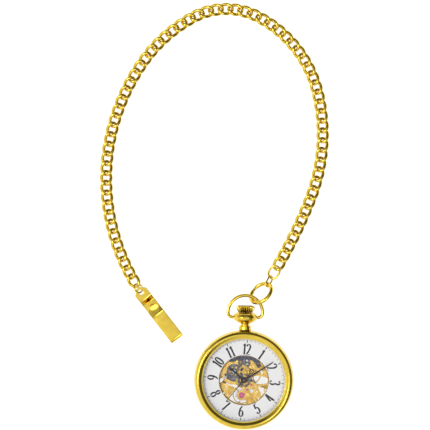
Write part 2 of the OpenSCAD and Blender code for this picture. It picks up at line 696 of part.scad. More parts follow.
// ---------- Going train ----------
module centre_wheel() color(plate_gold) {
    translate([0, 0, centre_z]) wheel(centre_teeth, third_m, wheel_t + 0.05, third_angle, 5, 0.7, 0.9,
        seconds_arbor_r + 0.08, 0.5);
    translate([0, 0, drum_z - 0.1]) pinion(centre_pinion_teeth, barrel_m, 0.5,
        facing(barrel_angle + 180, centre_pinion_teeth), seconds_arbor_r + 0.08);
    translate([0, 0, centre_z + wheel_t + 0.05]) ring(0.5, seconds_arbor_r + 0.08, 0.3);
    translate([0, 0, drum_z + 0.4]) ring(0.55, seconds_arbor_r + 0.08, plate_z - drum_z - 0.4);
    translate([0, 0, plate_z]) ring(tube_r, seconds_arbor_r + 0.08, hour_z + 0.5 - plate_z);
}
module cannon_pinion() color(steel) {
    translate([0, 0, minute_z - 0.05]) pinion(cannon_teeth, cannon_m, 0.3, minute_wheel_angle, tube_r + fit);
    translate([0, 0, minute_z + 0.25]) ring(0.62, tube_r + fit, hour_z + 0.5 - minute_z - 0.25);
    translate([0, 0, hour_z + 0.5]) ring(0.62, seconds_arbor_r + 0.08, hand_z + 0.6 - hour_z - 0.5);
}
module minute_wheel() color(plate_gold) translate([minute_at[0], minute_at[1], 0]) {
    translate([0, 0, minute_z]) wheel(minute_teeth, cannon_m, wheel_t,
        facing(minute_wheel_angle, minute_teeth), 4, 0.6, 1.25, 0, 0.6);
    translate([0, 0, plate_z + 0.1]) cylinder(h = minute_z - plate_z - 0.1, r = 0.3);
    translate([0, 0, minute_z + wheel_t]) pinion(minute_pinion_teeth, hour_m, 0.4, minute_wheel_angle + 180);
    translate([0, 0, minute_z + wheel_t + 0.4]) cylinder(h = 0.2, r = 1.1);
}
module hour_wheel() color(steel) {
    translate([0, 0, hour_z]) wheel(hour_teeth, hour_m, wheel_t,
        facing(minute_wheel_angle + 180, hour_teeth) + 180, 3, 0.7, 1.5, 0.62 + fit, 0.7);
    translate([0, 0, hour_z + wheel_t]) ring(0.95, 0.62 + fit, hand_z + 0.15 - hour_z - wheel_t);
}
module third_wheel() color(plate_gold) translate([third_at[0], third_at[1], 0]) {
    translate([0, 0, third_z]) wheel(third_teeth, fourth_m, wheel_t, third_angle, 5, 0.65, 0.8, 0, 0.45);
    translate([0, 0, third_z + wheel_t]) pinion(third_pinion_teeth, third_m,
        centre_z + 0.35 - third_z - wheel_t, facing(third_angle, third_pinion_teeth));
    cylinder_between(bridge_z + 0.15, bridge_z + bridge_t + 0.02, pivot_r);
    cylinder_between(bridge_z + bridge_t + 0.02, third_z, arbor_r);
    cylinder_between(centre_z + 0.35, plate_z - 0.05, arbor_r);
    cylinder_between(plate_z - 0.05, plate_top - 0.15, pivot_r);
}
module cylinder_between(z0, z1, r) translate([0, 0, z0]) cylinder(h = z1 - z0, r = r);
module fourth_wheel() color(plate_gold) {
    translate([0, 0, fourth_z]) wheel(fourth_teeth, escape_m, wheel_t, escape_angle, 5, 0.6, 0.75, 0, 0.42);
    translate([0, 0, fourth_z + wheel_t]) pinion(fourth_pinion_teeth, fourth_m,
        centre_z - 0.1 - fourth_z - wheel_t, facing(third_angle + 180, fourth_pinion_teeth));
    cylinder_between(bridge_z + 0.15, bridge_z + bridge_t + 0.02, pivot_r);
    cylinder_between(bridge_z + bridge_t + 0.02, fourth_z, arbor_r);
    cylinder_between(centre_z - 0.1, hand_z + 0.95, seconds_arbor_r);
}
escape_wheel_r = 2.7;
escape_z = pallet_z + 0.05;
// Each tooth of the escape wheel is a hooked club that leans the way the wheel turns.
module club_tooth() polygon([[escape_wheel_r - 0.75, -0.24], [escape_wheel_r - 0.1, -0.3],
    [escape_wheel_r, -0.24], [escape_wheel_r, 0.02], [escape_wheel_r - 0.3, 0.02],
    [escape_wheel_r - 0.75, 0.22]]);
module escape_wheel() color(steel) translate([escape_at[0], escape_at[1], 0]) {
    translate([0, 0, escape_z]) linear_extrude(wheel_t) {
        difference() {
            union() {
                circle(escape_wheel_r - 0.6);
                rotate(line_angle) for (i = [0 : escape_teeth - 1])
                    rotate((i + 0.5) * 360 / escape_teeth) club_tooth();
            }
            circle(escape_wheel_r - 0.95);
        }
        circle(0.6);
        for (i = [0 : 3]) rotate(i * 90) translate([0.4, -0.14]) square([escape_wheel_r - 1.2, 0.28]);
    }
    cylinder_between(bridge_z + 0.15, bridge_z + bridge_t + 0.02, pivot_r);
    cylinder_between(bridge_z + bridge_t + 0.02, fourth_z - 0.08, 0.22);
    translate([0, 0, fourth_z - 0.08]) pinion(escape_pinion_teeth, escape_m, pinion_t,
        facing(escape_angle, escape_pinion_teeth));
    cylinder_between(fourth_z - 0.08 + pinion_t, escape_z, 0.17);
    cylinder_between(escape_z + wheel_t, plate_z - 0.05, 0.17);
    cylinder_between(plate_z - 0.05, plate_top - 0.15, pivot_r);
}
roller_r = 0.75;
// The lever points its fork at the balance and its pallets at the escape wheel.
module pallet_fork() color(steel) translate([pallet_at[0], pallet_at[1], 0]) rotate(line_angle) {
    translate([0, 0, pallet_z]) linear_extrude(0.22) difference() {
        union() {
            circle(0.42);
            translate([0, -0.13]) square([fork_len - roller_r - 0.35, 0.26]);
            translate([fork_len - roller_r - 0.6, -0.4]) square([0.6, 0.8]);
            for (s = [0, 1]) mirror([0, s]) polygon([[0.1, 0.1], [0.38, 0.1], [-0.45, 1.8], [-0.75, 1.6]]);
        }
        translate([fork_len - roller_r - 0.3, -0.14]) square([1, 0.28]);
    }
    for (s = [-1, 1]) translate([-0.62, s * 1.62, pallet_z + 0.04]) rotate(s * 30 + 180)
        translate([0.08, -0.13, 0.1]) cube([0.28, 0.26, 0.2]);
    cylinder_between(pallet_bridge_z + 0.05, pallet_z, pivot_r);
    cylinder_between(pallet_z + 0.22, plate_top - 0.15, pivot_r);
}
balance_z = mid_z - 3.3;
balance_t = 0.36;
rim_w = 0.42;
rim_screws = 14;
module balance_wheel() color(gold) translate([balance_at[0], balance_at[1], balance_z]) {
    difference() {
        union() {
            cylinder(h = balance_t, r = balance_r);
            for (i = [0 : rim_screws - 1]) rotate((i + 0.5) * 360 / rim_screws)
                translate([balance_r - 0.05, 0, balance_t / 2]) rotate([0, 90, 0])
                    cylinder(h = 0.22, r = balance_t / 2 - 0.02, $fn = 24);
        }
        translate([0, 0, -0.1]) cylinder(h = balance_t + 0.2, r = balance_r - rim_w);
    }
    difference() {
        union() {
            for (i = [0 : 2]) rotate(i * 120 + 15) translate([0, -0.2, 0.08])
                cube([balance_r - rim_w / 2, 0.4, 0.2]);
            translate([0, 0, 0.08]) cylinder(h = 0.2, r = 0.7);
        }
        translate([0, 0, -0.1]) cylinder(h = 1, r = 0.3);
    }
}
module balance_staff() color(steel) translate([balance_at[0], balance_at[1], 0]) {
    cylinder_between(cock_z + 0.08, cock_z + cock_t + 0.02, pivot_r);
    cylinder_between(cock_z + cock_t + 0.02, plate_z - 0.05, 0.3);
    cylinder_between(plate_z - 0.05, plate_top - 0.3, pivot_r);
    // Roller and its impulse pin, which stands in the fork.
    cylinder_between(pallet_z - 0.45, pallet_z - 0.1, roller_r);
    rotate(line_angle + 180) translate([roller_r - 0.15, 0, pallet_z - 0.1]) cylinder(h = 0.3, r = 0.1);
}
hairspring_z = cock_z + cock_t + 0.12;
module hairspring() color(steel) translate([balance_at[0], balance_at[1], hairspring_z])
    linear_extrude(0.2) polygon(coil(0.4, 3.1, hairspring_turns, 0.07, 18));

// ---------- Hands ----------
function turn_of(clockwise) = 90 - clockwise;
hand_gap = 0.28;
module minute_hand() color([0.06, 0.06, 0.07]) rotate(turn_of(minute_angle))
    translate([0, 0, hand_z + hand_gap]) linear_extrude(hand_t) difference() {
        union() {
            circle(1.05);
            polygon([[-0.7, 0.34], [-2.3, 0.3], [-2.3, -0.3], [-0.7, -0.34]]);
            polygon([[0.7, -0.34], [4.5, -0.38], [minute_len - 1.5, -0.24], [minute_len, -0.05],
                     [minute_len, 0.05], [minute_len - 1.5, 0.24], [4.5, 0.38], [0.7, 0.34]]);
        }
        circle(0.62 + 0.005);
    }
module hour_hand() color([0.06, 0.06, 0.07]) rotate(turn_of(hour_angle))
    translate([0, 0, hand_z]) linear_extrude(hand_t) difference() {
        union() {
            circle(1.35);
            polygon([[1.1, -0.42], [hour_len - 1.6, -0.34], [hour_len, -0.06],
                     [hour_len, 0.06], [hour_len - 1.6, 0.34], [1.1, 0.42]]);
            translate([hour_len - 1.5, 0]) circle(0.8);
        }
        circle(0.95 + 0.005);
    }
loop_at = 5.6;
module seconds_hand() color([0.06, 0.06, 0.07]) rotate(turn_of(seconds_angle)) {
    translate([0, 0, hand_z + 2 * hand_gap + 0.06]) linear_extrude(hand_t * 0.8) difference() {
        union() {
            circle(0.8);
            polygon([[0.5, -0.24], [seconds_len, -0.1], [seconds_len, 0.1], [0.5, 0.24]]);
            polygon([[-0.5, 0.24], [-loop_at + 0.9, 0.2], [-loop_at + 0.9, -0.2], [-0.5, -0.24]]);
            translate([-loop_at, 0]) circle(1.1);
        }
        translate([-loop_at, 0]) circle(0.78);
        circle(seconds_arbor_r + 0.005);
    }
}

// ---------- Ring clasp ----------
// The clasp leans across the bow: its long axis lies level, and it tilts about that axis.
// It hangs on the bow, so its place is taken from the bow's pivots.
clasp_xy = [7.4, bulb_y + 11.8];
clasp_heading = 42;
clasp_tilt = 52;
clasp_drop = 0.78;
clasp_at = concat(clasp_xy,
    [max(clasp_r * sin(clasp_tilt) + clasp_tube_r + 0.02, mid_z - clasp_drop)]);
clasp_u = [cos(clasp_heading), sin(clasp_heading), 0];
clasp_v = [sin(clasp_heading) * cos(clasp_tilt), -cos(clasp_heading) * cos(clasp_tilt),
           sin(clasp_tilt)];
function unit(v) = v / norm(v);
// Puts children in the frame with origin o, X along x, and Y as near y as it can be.
module framed(o, x, y) {
    ux = unit(x);
    uz = unit(cross(ux, y));
    uy = cross(uz, ux);
    multmatrix([[ux[0], uy[0], uz[0], o[0]], [ux[1], uy[1], uz[1], o[1]],
                [ux[2], uy[2], uz[2], o[2]], [0, 0, 0, 1]]) children();
}
gap_from = 240;
gap_to = 270;
bolt_travel = 30;
bolt_r = 0.7;
trigger_a = 218;
module ring_clasp() color(gold) framed(clasp_at, clasp_u, clasp_v) difference() {
    wire_arc(clasp_r, clasp_tube_r, gap_to, gap_from + 360);
    // Bore that the bolt slides in, its socket, and the trigger's slot.
    wire_arc(clasp_r, bolt_r + fit, gap_from - 34 - bolt_travel, gap_from + 1);
    wire_arc(clasp_r, bolt_r + fit, gap_to - 1, gap_to + 7);
    rotate(trigger_a - bolt_travel - 4) rotate_extrude(angle = bolt_travel + 8)
        translate([clasp_r, -0.3]) square([clasp_tube_r + 0.5, 0.6]);
}
module ring_bolt() color(gold) framed(clasp_at, clasp_u, clasp_v) {
    wire_arc(clasp_r, bolt_r, gap_from - 32, gap_to + 6);
    rotate(trigger_a) translate([clasp_r, 0, 0]) rotate([0, 90, 0]) cylinder(h = 1.9, r = 0.24);
    rotate(trigger_a) translate([clasp_r + 1.9, 0, 0]) sphere(0.42, $fn = 32);
}

// ---------- Chain ----------
// The chain lies in a loop made of six arcs, each a length and the turn over that length.
drape_from = [13.5, bulb_y + 21.9];
drape_heading = 60;
drape = [[40, 10], [52, 35], [48, 49], [33, 56], [32, 26], [120, 70]];
// Position along one arc of length l and turn t, from the point p with heading h.
function along(p, h, l, t) = l == 0 ? [p[0], p[1], h] : let (r = l / (t * PI / 180))
    [p[0] + r * (sin(h + t) - sin(h)), p[1] - r * (cos(h + t) - cos(h)), h + t];
// Point and heading after the length s of the drape.
function drape_at(s, i = 0, p = drape_from, h = drape_heading) =
    let (a = drape[i])
    s <= a[0] || i == len(drape) - 1 ? along(p, h, s, a[1] * s / a[0])
    : let (q = along(p, h, a[0], a[1])) drape_at(s - a[0], i + 1, [q[0], q[1]], q[2]);

// Every curb link is an oval, and alternate links roll opposite ways about the chain's line.
link_slack = 0.12;
link_lap = 0.01;
link_end_r = (chain_w / 2 - chain_wire_r) / cos(chain_roll);
link_half = (chain_pitch + 2 * chain_wire_r + link_slack) / 2 - link_end_r;
chain_z = link_end_r * sin(chain_roll) + chain_wire_r + 0.02;
first_link = 4.95;
function link_roll(i) = i % 2 == 0 ? chain_roll : -chain_roll;
module on_drape(s, z) {
    q = drape_at(s);
    translate([q[0], q[1], z]) rotate(q[2]) children();
}
module curb_chain() color(gold) for (i = [0 : chain_links - 1])
    on_drape(first_link + i * chain_pitch, chain_z) rotate([link_roll(i), 0, 0])
        oval_link(link_half, link_end_r, chain_wire_r, link_lap);

// A plain oval link: two round ends of radius r, their centres 2h apart.
module oval_link(h, r, w, lap = 0) {
    translate([h, 0, 0]) wire_arc(r, w, -90, 90);
    translate([-h, 0, 0]) wire_arc(r, w, 90, 270);
    for (y = [-r, r]) translate([-h - lap, y, 0]) rotate([0, 90, 0])
        cylinder(h = 2 * (h + lap), r = w, $fn = 32);
}
end_link_r = 2.55;
end_link_half = 0.65;
end_link_wire_r = 0.5;
module chain_end_link() color(gold) on_drape(0, chain_z) rotate([-25, 0, 0])
    oval_link(end_link_half, end_link_r, end_link_wire_r);

// The connector runs from the clasp's tube to the near end of the chain's end link.
connector_r = 1.45;
connector_wire_r = 0.4;
join_a = -20;
join_at = clasp_at + clasp_r * (cos(join_a) * clasp_u + sin(join_a) * clasp_v);
join_along = cos(join_a) * clasp_v - sin(join_a) * clasp_u;
end_reach = end_link_half + end_link_r;
end_tip = concat(drape_from, [chain_z])
    - end_reach * [cos(drape_heading), sin(drape_heading), 0];
link_dir = unit(end_tip - join_at);
connector_near = clasp_tube_r + connector_wire_r + 0.12;
connector_far = end_link_wire_r + connector_wire_r + 0.12;
connector_half = (norm(end_tip - join_at) + connector_near + connector_far) / 2 - connector_r;
connector_at = join_at + link_dir * (norm(end_tip - join_at) + connector_far - connector_near) / 2;
module connector_link() color(gold)
    framed(connector_at, link_dir, cross(join_along, link_dir))
        oval_link(connector_half, connector_r, connector_wire_r);

// ---------- Belt clip ----------
clip_ring_r = 2.3;
clip_ring_wire_r = 0.42;
last_link = first_link + (chain_links - 1) * chain_pitch;
link_reach = link_half + link_end_r;
clip_ring_s = last_link + link_reach + clip_ring_r - chain_wire_r - clip_ring_wire_r - 0.04;
clip_ring_tilt = 40;
clip_ring_z = clip_ring_r * sin(clip_ring_tilt) + clip_ring_wire_r + 0.02;
module clip_ring() color(gold) on_drape(clip_ring_s, clip_ring_z)
    rotate([link_roll(chain_links) > 0 ? clip_ring_tilt : -clip_ring_tilt, 0, 0])
    rotate_extrude() translate([clip_ring_r, 0]) circle(clip_ring_wire_r, $fn = 32);

eye_r = 1.3;
eye_edge = 2.5;
clip_turn = 4;
clip_z = clip_ring_z - clip_t / 2;
fold_r = (clip_gap + 2 * clip_t) / 2;
eye_s = clip_ring_s + clip_ring_r;
// The clip's own frame: X along the strip from the eye, Z up.
module on_clip() {
    q = drape_at(eye_s);
    translate([q[0], q[1], 0]) rotate(q[2] + clip_turn) children();
}
// A strip's side outline, widened to the strip's width.
module strip() rotate([90, 0, 0]) translate([0, 0, -clip_w / 2]) linear_extrude(clip_w) children();
step_from = 3.4;
step_to = 6.4;
module clip_back() color(gold) on_clip() difference() {
    intersection() {
        strip() union() {
            polygon([[-eye_edge, clip_z], [step_from, clip_z], [step_to, 0],
                     [clip_len - fold_r, 0], [clip_len - fold_r, clip_t], [step_to + 0.2, clip_t],
                     [step_from + 0.2, clip_z + clip_t], [-eye_edge, clip_z + clip_t]]);
            translate([clip_len - fold_r, fold_r]) intersection() {
                difference() { circle(fold_r); circle(fold_r - clip_t); }
                translate([0, -fold_r - 1]) square([fold_r + 1, 2 * fold_r + 2]);
            }
        }
        // The eye end has two cut corners.
        translate([0, 0, -1]) linear_extrude(9) polygon([[-eye_edge, -clip_w / 2 + 2],
            [-eye_edge + 1.7, -clip_w / 2], [clip_len + 1, -clip_w / 2], [clip_len + 1, clip_w / 2],
            [-eye_edge + 1.7, clip_w / 2], [-eye_edge, clip_w / 2 - 2]]);
    }
    translate([0, 0, -1]) cylinder(h = 9, r = eye_r);
}
lip_r = clip_w / 2;
lip_angle = 40;
leaf_z = 2 * fold_r - clip_t;
leaf_end = clip_len - fold_r - leaf_len;
module clip_leaf() color(gold) on_clip() {
    strip() polygon([[leaf_end, leaf_z - 0.5], [leaf_end + 3, leaf_z - 0.5],
        [clip_len - fold_r, leaf_z], [clip_len - fold_r, leaf_z + clip_t],
        [leaf_end + 3, leaf_z + clip_t - 0.5], [leaf_end, leaf_z + clip_t - 0.5]]);
    // The lip flares up and ends in a half round.
    translate([leaf_end, 0, leaf_z - 0.5]) rotate([0, lip_angle - 180, 0]) mirror([0, 0, 1])
        linear_extrude(clip_t) intersection() {
            circle(lip_r);
            translate([0, -lip_r]) square(2 * lip_r);
        }
}

case_band();
case_back();
rear_crystal();
rear_gasket();
bezel();
front_crystal();
crystal_gasket();
movement_ring();
case_screws();
dial();
window_ring();
pendant();
pendant_collar();
bow();
crown();
stem();
winding_pinion();
sliding_pinion();
crown_wheel();
ratchet_wheel();
barrel_arbor();
mainspring();
barrel_drum();
barrel_cover();
click();
click_spring();
setting_lever();
yoke();
setting_bridge();
mainplate();
barrel_bridge();
train_bridge();
pallet_bridge();
balance_cock();
regulator();
hairspring();
jewels();
bridge_screws();
centre_wheel();
cannon_pinion();
minute_hand();
minute_wheel();
hour_wheel();
hour_hand();
third_wheel();
fourth_wheel();
seconds_hand();
escape_wheel();
pallet_fork();
balance_wheel();
balance_staff();
ring_clasp();
ring_bolt();
connector_link();
chain_end_link();
curb_chain();
clip_ring();
clip_back();
clip_leaf();
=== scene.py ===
import bpy
from math import cos, pi, radians, sin, sqrt, tan
from mathutils import Matrix, Vector


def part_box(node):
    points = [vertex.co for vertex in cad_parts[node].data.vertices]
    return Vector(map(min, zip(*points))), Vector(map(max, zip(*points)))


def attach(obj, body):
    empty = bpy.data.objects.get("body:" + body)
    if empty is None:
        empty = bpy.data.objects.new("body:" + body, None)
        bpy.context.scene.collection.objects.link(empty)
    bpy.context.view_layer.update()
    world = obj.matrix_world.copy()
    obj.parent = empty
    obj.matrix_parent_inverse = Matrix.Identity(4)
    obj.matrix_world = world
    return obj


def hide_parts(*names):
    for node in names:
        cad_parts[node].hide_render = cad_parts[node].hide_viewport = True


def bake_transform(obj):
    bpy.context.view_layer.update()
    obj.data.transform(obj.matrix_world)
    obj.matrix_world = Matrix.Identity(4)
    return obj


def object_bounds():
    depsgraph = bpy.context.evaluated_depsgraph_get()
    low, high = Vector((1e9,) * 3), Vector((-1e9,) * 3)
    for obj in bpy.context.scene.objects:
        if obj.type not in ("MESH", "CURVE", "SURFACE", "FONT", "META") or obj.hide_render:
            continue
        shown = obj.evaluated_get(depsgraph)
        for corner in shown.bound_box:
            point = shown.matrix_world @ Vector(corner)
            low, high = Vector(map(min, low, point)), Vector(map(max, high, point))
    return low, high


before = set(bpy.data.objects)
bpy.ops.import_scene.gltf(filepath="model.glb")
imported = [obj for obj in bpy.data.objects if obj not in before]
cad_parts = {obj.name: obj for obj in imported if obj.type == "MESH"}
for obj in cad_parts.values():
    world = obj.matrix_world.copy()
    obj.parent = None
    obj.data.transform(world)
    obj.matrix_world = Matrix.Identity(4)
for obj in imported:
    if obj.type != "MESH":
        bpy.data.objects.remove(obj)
cad_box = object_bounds()
MM = 0.001

# ---------------------------------------------------------------- sizes, in millimetres
CASE_R = 24.0
CASE_T = 12.4
MID_Z = CASE_T / 2
BEZEL_OPEN_R = 20.0
BACK_T = 2.2
BAND_TOP = 9.2
BAND_BORE_R = 21.48
GLASS_Z = CASE_T - 1.75
GLASS_EDGE_T = 0.66
GLASS_T = 1.1
GLASS_DOME = 0.3
DIAL_TOP = 9.07
DIAL_TURN = -3.7
NECK_Y = 26.05
BULB_R = 5.95
BULB_Y = 30.2
CROWN_R = 4.5
CROWN_Y = 32.8
CROWN_H = 3.6
CROWN_FLUTES = 22
BOW_R = 8.35
BOW_WIRE_R = 0.8
BOW_CORNER_R = 2.2
BOW_PIVOT_X = 3.5
BOW_PIVOT_R = 0.6
CHAIN_W = 6.2
CHAIN_PITCH = 4.73
CHAIN_LINKS = 67
FIRST_LINK = 4.95
DRAPE_FROM = (13.5, 52.1)
DRAPE_HEADING = 60
DRAPE = [(40, 10), (52, 35), (48, 49), (33, 56), (32, 26), (120, 70)]
CLIP_EYE_S = 323.695
CLIP_TURN = 4
CLIP_W = 6.8
CLIP_T = 0.6
CLIP_LEN = 28.9
CLIP_FOLD_R = 1.35
CLIP_EYE_R = 1.3
CLIP_EYE_Z = 1.918
CLIP_STEP_FROM = 3.4
CLIP_STEP_TO = 6.4
CLIP_FOLD_X = CLIP_LEN - CLIP_FOLD_R


# ---------------------------------------------------------------- camera
VIEW_WIDTH = 207.2 * MM
VIEW_ROLL = radians(1.3)
VIEW_HEIGHT = 1.4
SENSOR = 36.0
low, high = (Vector(corner) for corner in cad_box)
view_at = (low + high) / 2 + Vector((0.9, 0.2, 0)) * MM
camera_data = bpy.data.cameras.new("camera")
camera_data.sensor_width = SENSOR
camera_data.lens = SENSOR * (VIEW_HEIGHT - MID_Z * MM) / VIEW_WIDTH
camera_data.clip_end = 10
camera = bpy.data.objects.new("camera", camera_data)
camera.location = (view_at.x, view_at.y, VIEW_HEIGHT)
camera.rotation_euler = (0, 0, VIEW_ROLL)
bpy.context.collection.objects.link(camera)
bpy.context.scene.camera = camera


# ---------------------------------------------------------------- materials
class Shader:
    """A Principled material, with short calls for the procedural nodes that feed it."""

    def __init__(self, name, color, metallic=0.0, roughness=0.4, **sockets):
        self.material = bpy.data.materials.new(name)
        self.material.use_nodes = True
        self.tree = self.material.node_tree
        self.shader = self.tree.nodes["Principled BSDF"]
        self.set("Base Color", (*color, 1))
        self.set("Metallic", metallic)
        self.set("Roughness", roughness)
        for socket, value in sockets.items():
            self.set(socket.replace("_", " "), value)
        self.height = None

    def set(self, socket, value):
        self.shader.inputs[socket].default_value = value

    def node(self, kind, **settings):
        made = self.tree.nodes.new(kind)
        for key, value in settings.items():
            if key in made.inputs:
                made.inputs[key].default_value = value
            else:
                setattr(made, key, value)
        return made

    def link(self, source, target):
        self.tree.links.new(source, target)

    def place(self, centre=(0, 0, 0), scale=(1, 1, 1)):
        """Object coordinates in millimetres about centre."""
        where = self.node("ShaderNodeTexCoord").outputs["Object"]
        mapping = self.node("ShaderNodeMapping")
        mapping.inputs["Location"].default_value = [-c * s for c, s in zip(centre, scale)]
        mapping.inputs["Scale"].default_value = [s / MM for s in scale]
        self.link(where, mapping.inputs["Vector"])
        return mapping.outputs["Vector"]

    def noise(self, scale, where=None, detail=3.0):
        made = self.node("ShaderNodeTexNoise", Scale=scale, Detail=detail)
        self.link(where or self.place(), made.inputs["Vector"])
        return made.outputs["Fac"]

    def ramp(self, value, stops):
        made = self.node("ShaderNodeValToRGB")
        elements = made.color_ramp.elements
        while len(elements) < len(stops):
            elements.new(0.5)
        for element, (at, color) in zip(elements, stops):
            element.position = at
            element.color = (*color, 1) if len(color) == 3 else color
        self.link(value, made.inputs["Fac"])
        return made.outputs["Color"]

    def spread(self, value, low, high, target):
        made = self.node("ShaderNodeMapRange")
        made.inputs["To Min"].default_value = low
        made.inputs["To Max"].default_value = high
        self.link(value, made.inputs["Value"])
        self.link(made.outputs["Result"], self.shader.inputs[target])

    def color_from(self, value, stops):
        self.link(self.ramp(value, stops), self.shader.inputs["Base Color"])

    def bump(self, value, height, strength=1.0):
        made = self.node("ShaderNodeBump", Strength=strength, Distance=height * MM)
        self.link(value, made.inputs["Height"])
        if self.height:
            self.link(self.height, made.inputs["Normal"])
        self.height = made.outputs["Normal"]
        self.link(self.height, self.shader.inputs["Normal"])

    def wave(self, scale, where, kind="BANDS", direction="X", distortion=0.0):
        made = self.node("ShaderNodeTexWave", Scale=scale, Distortion=distortion)
        made.wave_type = kind
        if kind == "BANDS":
            made.bands_direction = direction
        else:
            made.rings_direction = direction
        self.link(where, made.inputs["Vector"])
        return made.outputs["Fac"]


def polished_gold():
    gold = Shader("polished_gold", (0.8, 0.58, 0.08), 1.0, 0.12)
    cloud = gold.noise(0.35)
    gold.color_from(cloud, [(0.3, (0.74, 0.52, 0.06)), (0.7, (0.84, 0.62, 0.1))])
    gold.spread(gold.noise(2.5), 0.09, 0.2, "Roughness")
    gold.bump(gold.noise(1.2, detail=1.0), 0.012)
    gold.bump(gold.noise(14, detail=2.0), 0.0012)
    return gold.material


def chain_gold():
    gold = Shader("chain_gold", (0.76, 0.56, 0.07), 1.0, 0.15)
    gold.color_from(gold.noise(0.5), [(0.3, (0.7, 0.5, 0.05)), (0.7, (0.8, 0.6, 0.09))])
    gold.spread(gold.noise(3), 0.12, 0.24, "Roughness")
    gold.bump(gold.noise(3.5, detail=2.0), 0.01)
    return gold.material


def crown_gold():
    """Polished ribs, with painted shade darkening the flutes between them."""
    gold = Shader("crown_gold", (0.78, 0.57, 0.08), 1.0, 0.14)
    away = gold.node("ShaderNodeVectorMath", operation="LENGTH")
    gold.link(gold.place((0, 0, MID_Z), (1, 0, 1)), away.inputs[0])
    depth = gold.node("ShaderNodeMapRange")
    depth.inputs["From Min"].default_value = CROWN_R - 1.2
    depth.inputs["From Max"].default_value = CROWN_R - 0.25
    gold.link(away.outputs["Value"], depth.inputs["Value"])
    # Painted shade: the base colour goes dark towards the bottom of each flute and bright on the
    # ribs.
    gold.color_from(depth.outputs["Result"], [(0.2, (0.22, 0.13, 0.015)), (0.9, (0.84, 0.62, 0.1))])
    gold.spread(gold.noise(4), 0.12, 0.25, "Roughness")
    return gold.material


def gilt_brass(name, lines, direction="X"):
    """Gilt movement plate with straight graining."""
    gilt = Shader(name, (0.48, 0.32, 0.09), 1.0, 0.3)
    where = gilt.place()
    gilt.color_from(gilt.noise(0.6), [(0.3, (0.36, 0.22, 0.05)), (0.7, (0.56, 0.39, 0.13))])
    gilt.bump(gilt.wave(lines, where, "BANDS", direction, 0.6), 0.01)
    gilt.spread(gilt.noise(5), 0.2, 0.38, "Roughness")
    gilt.bump(gilt.noise(18), 0.003)
    return gilt.material


def sunray(name, dark, light, centre, roughness=(0.22, 0.4)):
    """Metal turned about centre: fine rings."""
    metal = Shader(name, dark, 1.0, 0.3)
    where = metal.place(centre)
    metal.color_from(metal.noise(0.9), [(0.3, dark), (0.7, light)])
    metal.bump(metal.wave(5, where, "RINGS", "Z", 0.2), 0.006)
    metal.spread(metal.noise(6), *roughness, "Roughness")
    return metal.material


def steel(name, dark, light, low=0.12, high=0.3):
    metal = Shader(name, dark, 1.0, 0.2)
    metal.color_from(metal.noise(1.1), [(0.3, dark), (0.7, light)])
    metal.spread(metal.noise(7), low, high, "Roughness")
    metal.bump(metal.noise(16), 0.002)
    return metal.material


def silvered_dial():
    """White silvering with a very fine grain."""
    dial = Shader("silvered_dial", (0.9, 0.9, 0.91), 0.0, 0.45, IOR=1.45)
    fine = dial.noise(9, detail=4.0)
    dial.color_from(fine, [(0.25, (0.86, 0.86, 0.88)), (0.75, (0.93, 0.93, 0.94))])
    dial.spread(dial.noise(3), 0.38, 0.55, "Roughness")
    dial.bump(fine, 0.004)
    return dial.material


def black_lacquer():
    lacquer = Shader("black_lacquer", (0.012, 0.012, 0.014), 0.0, 0.25, Coat_Weight=0.4)
    lacquer.color_from(lacquer.noise(2), [(0.3, (0.008, 0.008, 0.01)), (0.7, (0.02, 0.02, 0.023))])
    lacquer.spread(lacquer.noise(9), 0.18, 0.35, "Roughness")
    return lacquer.material


def printed_black():
    ink = Shader("printed_black", (0.015, 0.015, 0.018), 0.0, 0.6)
    ink.color_from(ink.noise(8), [(0.3, (0.01, 0.01, 0.012)), (0.7, (0.03, 0.03, 0.034))])
    ink.spread(ink.noise(12), 0.5, 0.7, "Roughness")
    return ink.material


def clear_crystal():
    crystal = Shader("clear_crystal", (0.02, 0.02, 0.02), 0.0, 0.03, Alpha=0.03, IOR=1.5)
    crystal.spread(crystal.noise(0.4), 0.02, 0.05, "Roughness")
    return crystal.material


def ruby_jewel():
    ruby = Shader("ruby_jewel", (0.6, 0.04, 0.2), 0.0, 0.06, IOR=1.76, Coat_Weight=0.5)
    ruby.color_from(ruby.noise(1.6), [(0.3, (0.5, 0.03, 0.15)), (0.7, (0.75, 0.12, 0.36))])
    ruby.spread(ruby.noise(4), 0.04, 0.1, "Roughness")
    return ruby.material


def rubber():
    black = Shader("gasket_rubber", (0.03, 0.03, 0.03), 0.0, 0.7)
    black.color_from(black.noise(3), [(0.3, (0.02, 0.02, 0.02)), (0.7, (0.05, 0.05, 0.05))])
    black.bump(black.noise(10), 0.01)
    return black.material


GOLD = polished_gold()
CROWN_GOLD_FLUTE_SHADE = crown_gold()
CHAIN_GOLD = chain_gold()
BRIDGE_GILT = gilt_brass("bridge_gilt", 1.2, "DIAGONAL")
PLATE_GILT = gilt_brass("plate_gilt", 3.0, "X")
STEEL = steel("polished_steel", (0.5, 0.51, 0.54), (0.68, 0.69, 0.72))
DARK_STEEL = steel("dark_steel", (0.07, 0.07, 0.09), (0.16, 0.16, 0.19), 0.2, 0.4)
SPRING_STEEL = steel("blued_spring", (0.05, 0.07, 0.2), (0.12, 0.16, 0.34), 0.15, 0.3)
DIAL_SILVER = silvered_dial()
LACQUER = black_lacquer()
INK = printed_black()
CRYSTAL = clear_crystal()
RUBY = ruby_jewel()
RUBBER = rubber()


def node_centre(node):
    """The middle of a CAD node at rest, in millimetres."""
    a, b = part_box(node)
    return [(p + q) / 2 / MM for p, q in zip(a, b)]


